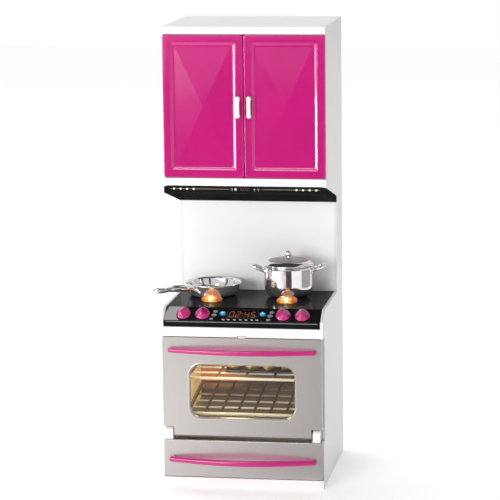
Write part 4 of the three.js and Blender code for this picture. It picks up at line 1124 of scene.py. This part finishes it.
def frying_pan():
    """A shallow pan with a rolled rim, and a flat cast handle with an oval dimple and a waist."""
    pan = Box("frying_pan")
    x, y, foot = pan.x1 - PAN_RIM, pan.y1 - PAN_RIM, pan.z0
    bowl = bmesh.new()
    outside = smooth_profile([(14.4, 0), (15.9, 0.3), (17.5, 1.6), (18.6, 4.0), (19.3, 6.6), (19.7, 8.3)], 4)
    rim = [(19.8 + 0.52 * math.cos(a), 8.72 + 0.52 * math.sin(a)) for a in
           (math.radians(-60 + 28 * i) for i in range(9))]
    inside = smooth_profile([(18.7, 8.2), (18.3, 6.7), (17.6, 4.4), (16.6, 2.6), (15.1, 1.4), (13.5, 1.1)], 4)
    turned(bowl, [(0.02, 0)] + outside + rim + inside + [(0.02, 1.05)], x, y, foot, sides=96)
    finish("frying_pan_bowl", bowl, CHROME_PAN, "frying_pan", "frying_pan", ["frying_pan"], sharp=50)

    out = Vector((math.cos(PAN_AZIMUTH), math.sin(PAN_AZIMUTH), 0))
    base = Vector((x, y, foot + 9.2))
    route = [base + out * r + Vector((0, 0, h)) for r, h in
             ((18.0, -4.6), (20.6, -3.2), (24.0, -1.6), (29.0, -0.7), (36.0, 0.0), (45.0, 0.5), (58.6, 1.1))]
    centres = spline(route, 12)
    shape = ((0, 5.4, 1.6), (0.06, 4.1, 1.4), (0.13, 2.8, 1.35), (0.2, 2.4, 1.45), (0.3, 2.6, 1.75),
             (0.4, 3.2, 2.1), (0.5, 3.5, 2.3), (0.66, 3.5, 2.35), (0.76, 3.2, 2.15), (0.83, 2.4, 1.65),
             (0.86, 2.5, 1.75), (0.92, 3.0, 2.1), (0.965, 2.6, 1.85), (0.99, 1.6, 1.2), (1.0, 0.3, 0.25))

    def between(share):
        for (s0, w0, t0), (s1, w1, t1) in zip(shape, shape[1:]):
            if share <= s1:
                f = (share - s0) / (s1 - s0)
                f = f * f * (3 - 2 * f)
                return w0 + (w1 - w0) * f, t0 + (t1 - t0) * f
        return shape[-1][1:]

    def section(share):
        wide, thick = between(share)
        dimple = max(0.0, 1 - ((share - 0.6) / 0.2) ** 2)
        hole = max(0.0, 1 - ((share - 0.93) / 0.035) ** 2)
        points = []
        for a, b in oval(wide, thick, 40, 2.4):
            if b > 0:
                across = max(0.0, 1 - (a / (wide * 0.62)) ** 2)
                b -= 1.5 * min(1.0, 2.2 * dimple * across) * (b / thick)
                b -= 1.0 * min(1.0, 2.0 * hole * across) * (b / thick)
            points.append((a, b))
        return points

    handle = bmesh.new()
    sweep(handle, centres, section)
    for side in (-1, 1):
        made = bmesh.ops.create_uvsphere(handle, u_segments=16, v_segments=10, radius=0.85)
        across = Vector((-out.y, out.x, 0)) * 2.4 * side
        at = base + out * 17.4 + across + Vector((0, 0, -3.4))
        bmesh.ops.translate(handle, vec=at, verts=made["verts"])
    finish("frying_pan_handle", handle, CHROME_PAN, "frying_pan", "frying_pan", sharp=60, flat=False)


POT_TURN = math.radians(8)


def cooking_pot():
    """A straight-sided pot with a rolled rim, a rounded foot and two loop handles."""
    pot = Box("cooking_pot")
    x, y, foot = pot.x, pot.y, pot.z0
    tall = pot.z1 - foot
    r = 17.2
    outside = smooth_profile([(11.6, 0), (13.3, 0.35), (15.1, 1.5), (16.4, 3.3), (17.0, 5.6), (r, 8.2)], 4)
    wall = [(r, 12), (r, 16), (r, tall - 1.7), (r + 0.06, tall - 1.25)]
    rim = [(r + 0.1 + 0.5 * math.cos(a), tall - 0.6 + 0.5 * math.sin(a)) for a in
           (math.radians(-70 + 28 * i) for i in range(9))]
    inside = [(r - 0.8, tall - 1.6), (r - 0.9, 12), (r - 0.95, 7.5), (r - 1.9, 3.9), (r - 4.6, 1.4),
              (0.02, 1.1)]
    body = bmesh.new()
    turned(body, [(0.02, 0)] + outside + wall + rim + inside, x, y, foot, sides=96)
    finish("cooking_pot_body", body, CHROME_POT, "cooking_pot", "cooking_pot", ["cooking_pot"], sharp=50)

    loops = bmesh.new()
    for turn in (POT_TURN, POT_TURN + math.pi):
        out = Vector((math.cos(turn), math.sin(turn), 0))
        side = Vector((-out.y, out.x, 0))
        route = []
        for reach, across, up in ((-0.6, -4.6, -1.5), (1.4, -4.8, -0.8), (4.6, -4.7, 0.5), (7.6, -3.6, 1.7),
                                  (8.9, 0, 2.2), (7.6, 3.6, 1.7), (4.6, 4.7, 0.5), (1.4, 4.8, -0.8),
                                  (-0.6, 4.6, -1.5)):
            route.append(Vector((x, y, foot + tall - 2.2 + up)) + out * (r + reach) + side * across)
        sweep(loops, spline(route, 8), lambda share: oval(0.85, 1.0, 18))
        for across in (-4.7, 4.7):
            at = Vector((x, y, foot + tall - 3.7)) + side * across + out * math.sqrt(r * r - across * across)
            made = bmesh.ops.create_uvsphere(loops, u_segments=18, v_segments=12, radius=1)
            squash = Matrix.Rotation(turn, 4, "Z") @ Matrix.Diagonal((0.7, 1.7, 2.3, 1))
            bmesh.ops.transform(loops, matrix=Matrix.Translation(at) @ squash, verts=made["verts"])
    finish("cooking_pot_loops", loops, CHROME, "cooking_pot", "cooking_pot", sharp=60, flat=False)


def pot_lid():
    """A lid with a bright sloping rim, a broad low dome and a ball knob."""
    lid = Box("pot_lid")
    x, y, z = lid.x, lid.y, lid.z0 + 1.5
    lip = bmesh.new()
    rim = smooth_profile([(15.4, -1.4), (15.6, -0.1), (17.3, 0.02), (17.65, 0.35), (17.45, 0.95), (16.4, 2.0),
                          (15.3, 2.75), (14.3, 3.15)], 5)
    under = [(14.2, 2.5), (14.9, 1.2), (15.0, -1.3)]
    turned(lip, rim + under, x, y, z, sides=96)
    finish("pot_lid_rim", lip, CHROME_POT, "pot_lid", "pot_lid", ["pot_lid"], sharp=50)
    # the dome's dark satin colour is a painted dark reflection
    dome = bmesh.new()
    crown = smooth_profile([(14.35, 2.6), (14.2, 3.2), (13.2, 3.5), (10, 4.0), (6, 4.35), (2.5, 4.5)], 5)
    turned(dome, crown + [(0.02, 4.5), (0.02, 3.8), (9, 3.3)], x, y, z, sides=96)
    finish("pot_lid_dome", dome, DOME_PAINTED_DARK, "pot_lid", "pot_lid", sharp=50)

    knob = Box("pot_lid_knob")
    ball = bmesh.new()
    profile = [(0.02, 0), (1.5, 0), (1.45, 0.25), (0.95, 0.55), (0.85, 0.95)]
    profile += [(2.35 * math.cos(a), 2.95 + 2.35 * math.sin(a)) for a in
                (math.radians(-66 + 12 * i) for i in range(13))]
    turned(ball, profile + [(0.02, 5.3)], knob.x, knob.y, knob.z0, sides=48)
    finish("pot_lid_ball", ball, CHROME, "pot_lid", "pot_lid_knob", ["pot_lid_knob"], sharp=60)


# ---- inside -------------------------------------------------------------------------
def electrics():
    softened("circuit_board", plastic("solder_mask", (0.015, 0.11, 0.04), 0.3), 0.15)
    softened("speaker", plastic("speaker_body", (0.04, 0.04, 0.045), 0.5), 0.3)
    softened("battery_box", WHITE_SATIN, 0.25)
    for side in ("left", "right"):
        softened("battery_contact_" + side, BRASS, 0.08, segments=1)
    for number in (1, 2):
        softened(f"battery_cell_{number}", plastic(f"cell_sleeve_{number}", (0.05, 0.12, 0.05), 0.3), 0.4)
    softened("battery_lead", LED_RED, 0.1, segments=1)
    softened("power_switch", CHARCOAL, 0.25)
    softened("clock_display", plastic("display_window", (0.01, 0.004, 0.003), 0.08), 0.1)


camera()
studio()
cabinet()
for side in ("left", "right"):
    cupboard_door(side)
    cupboard_handle(side)
    light_button(side)
    burner_light(side)
hood()
cooktop()
clock(-0.9)
touch_marks(-0.9)
for number in (1, 2, 3, 4):
    knob(number)
oven_door()
oven_inside()
bowed_handle("oven_door_handle", "oven_door")
bowed_handle("drawer_handle", "drawer")
drawer()
frying_pan()
cooking_pot()
pot_lid()
electrics()
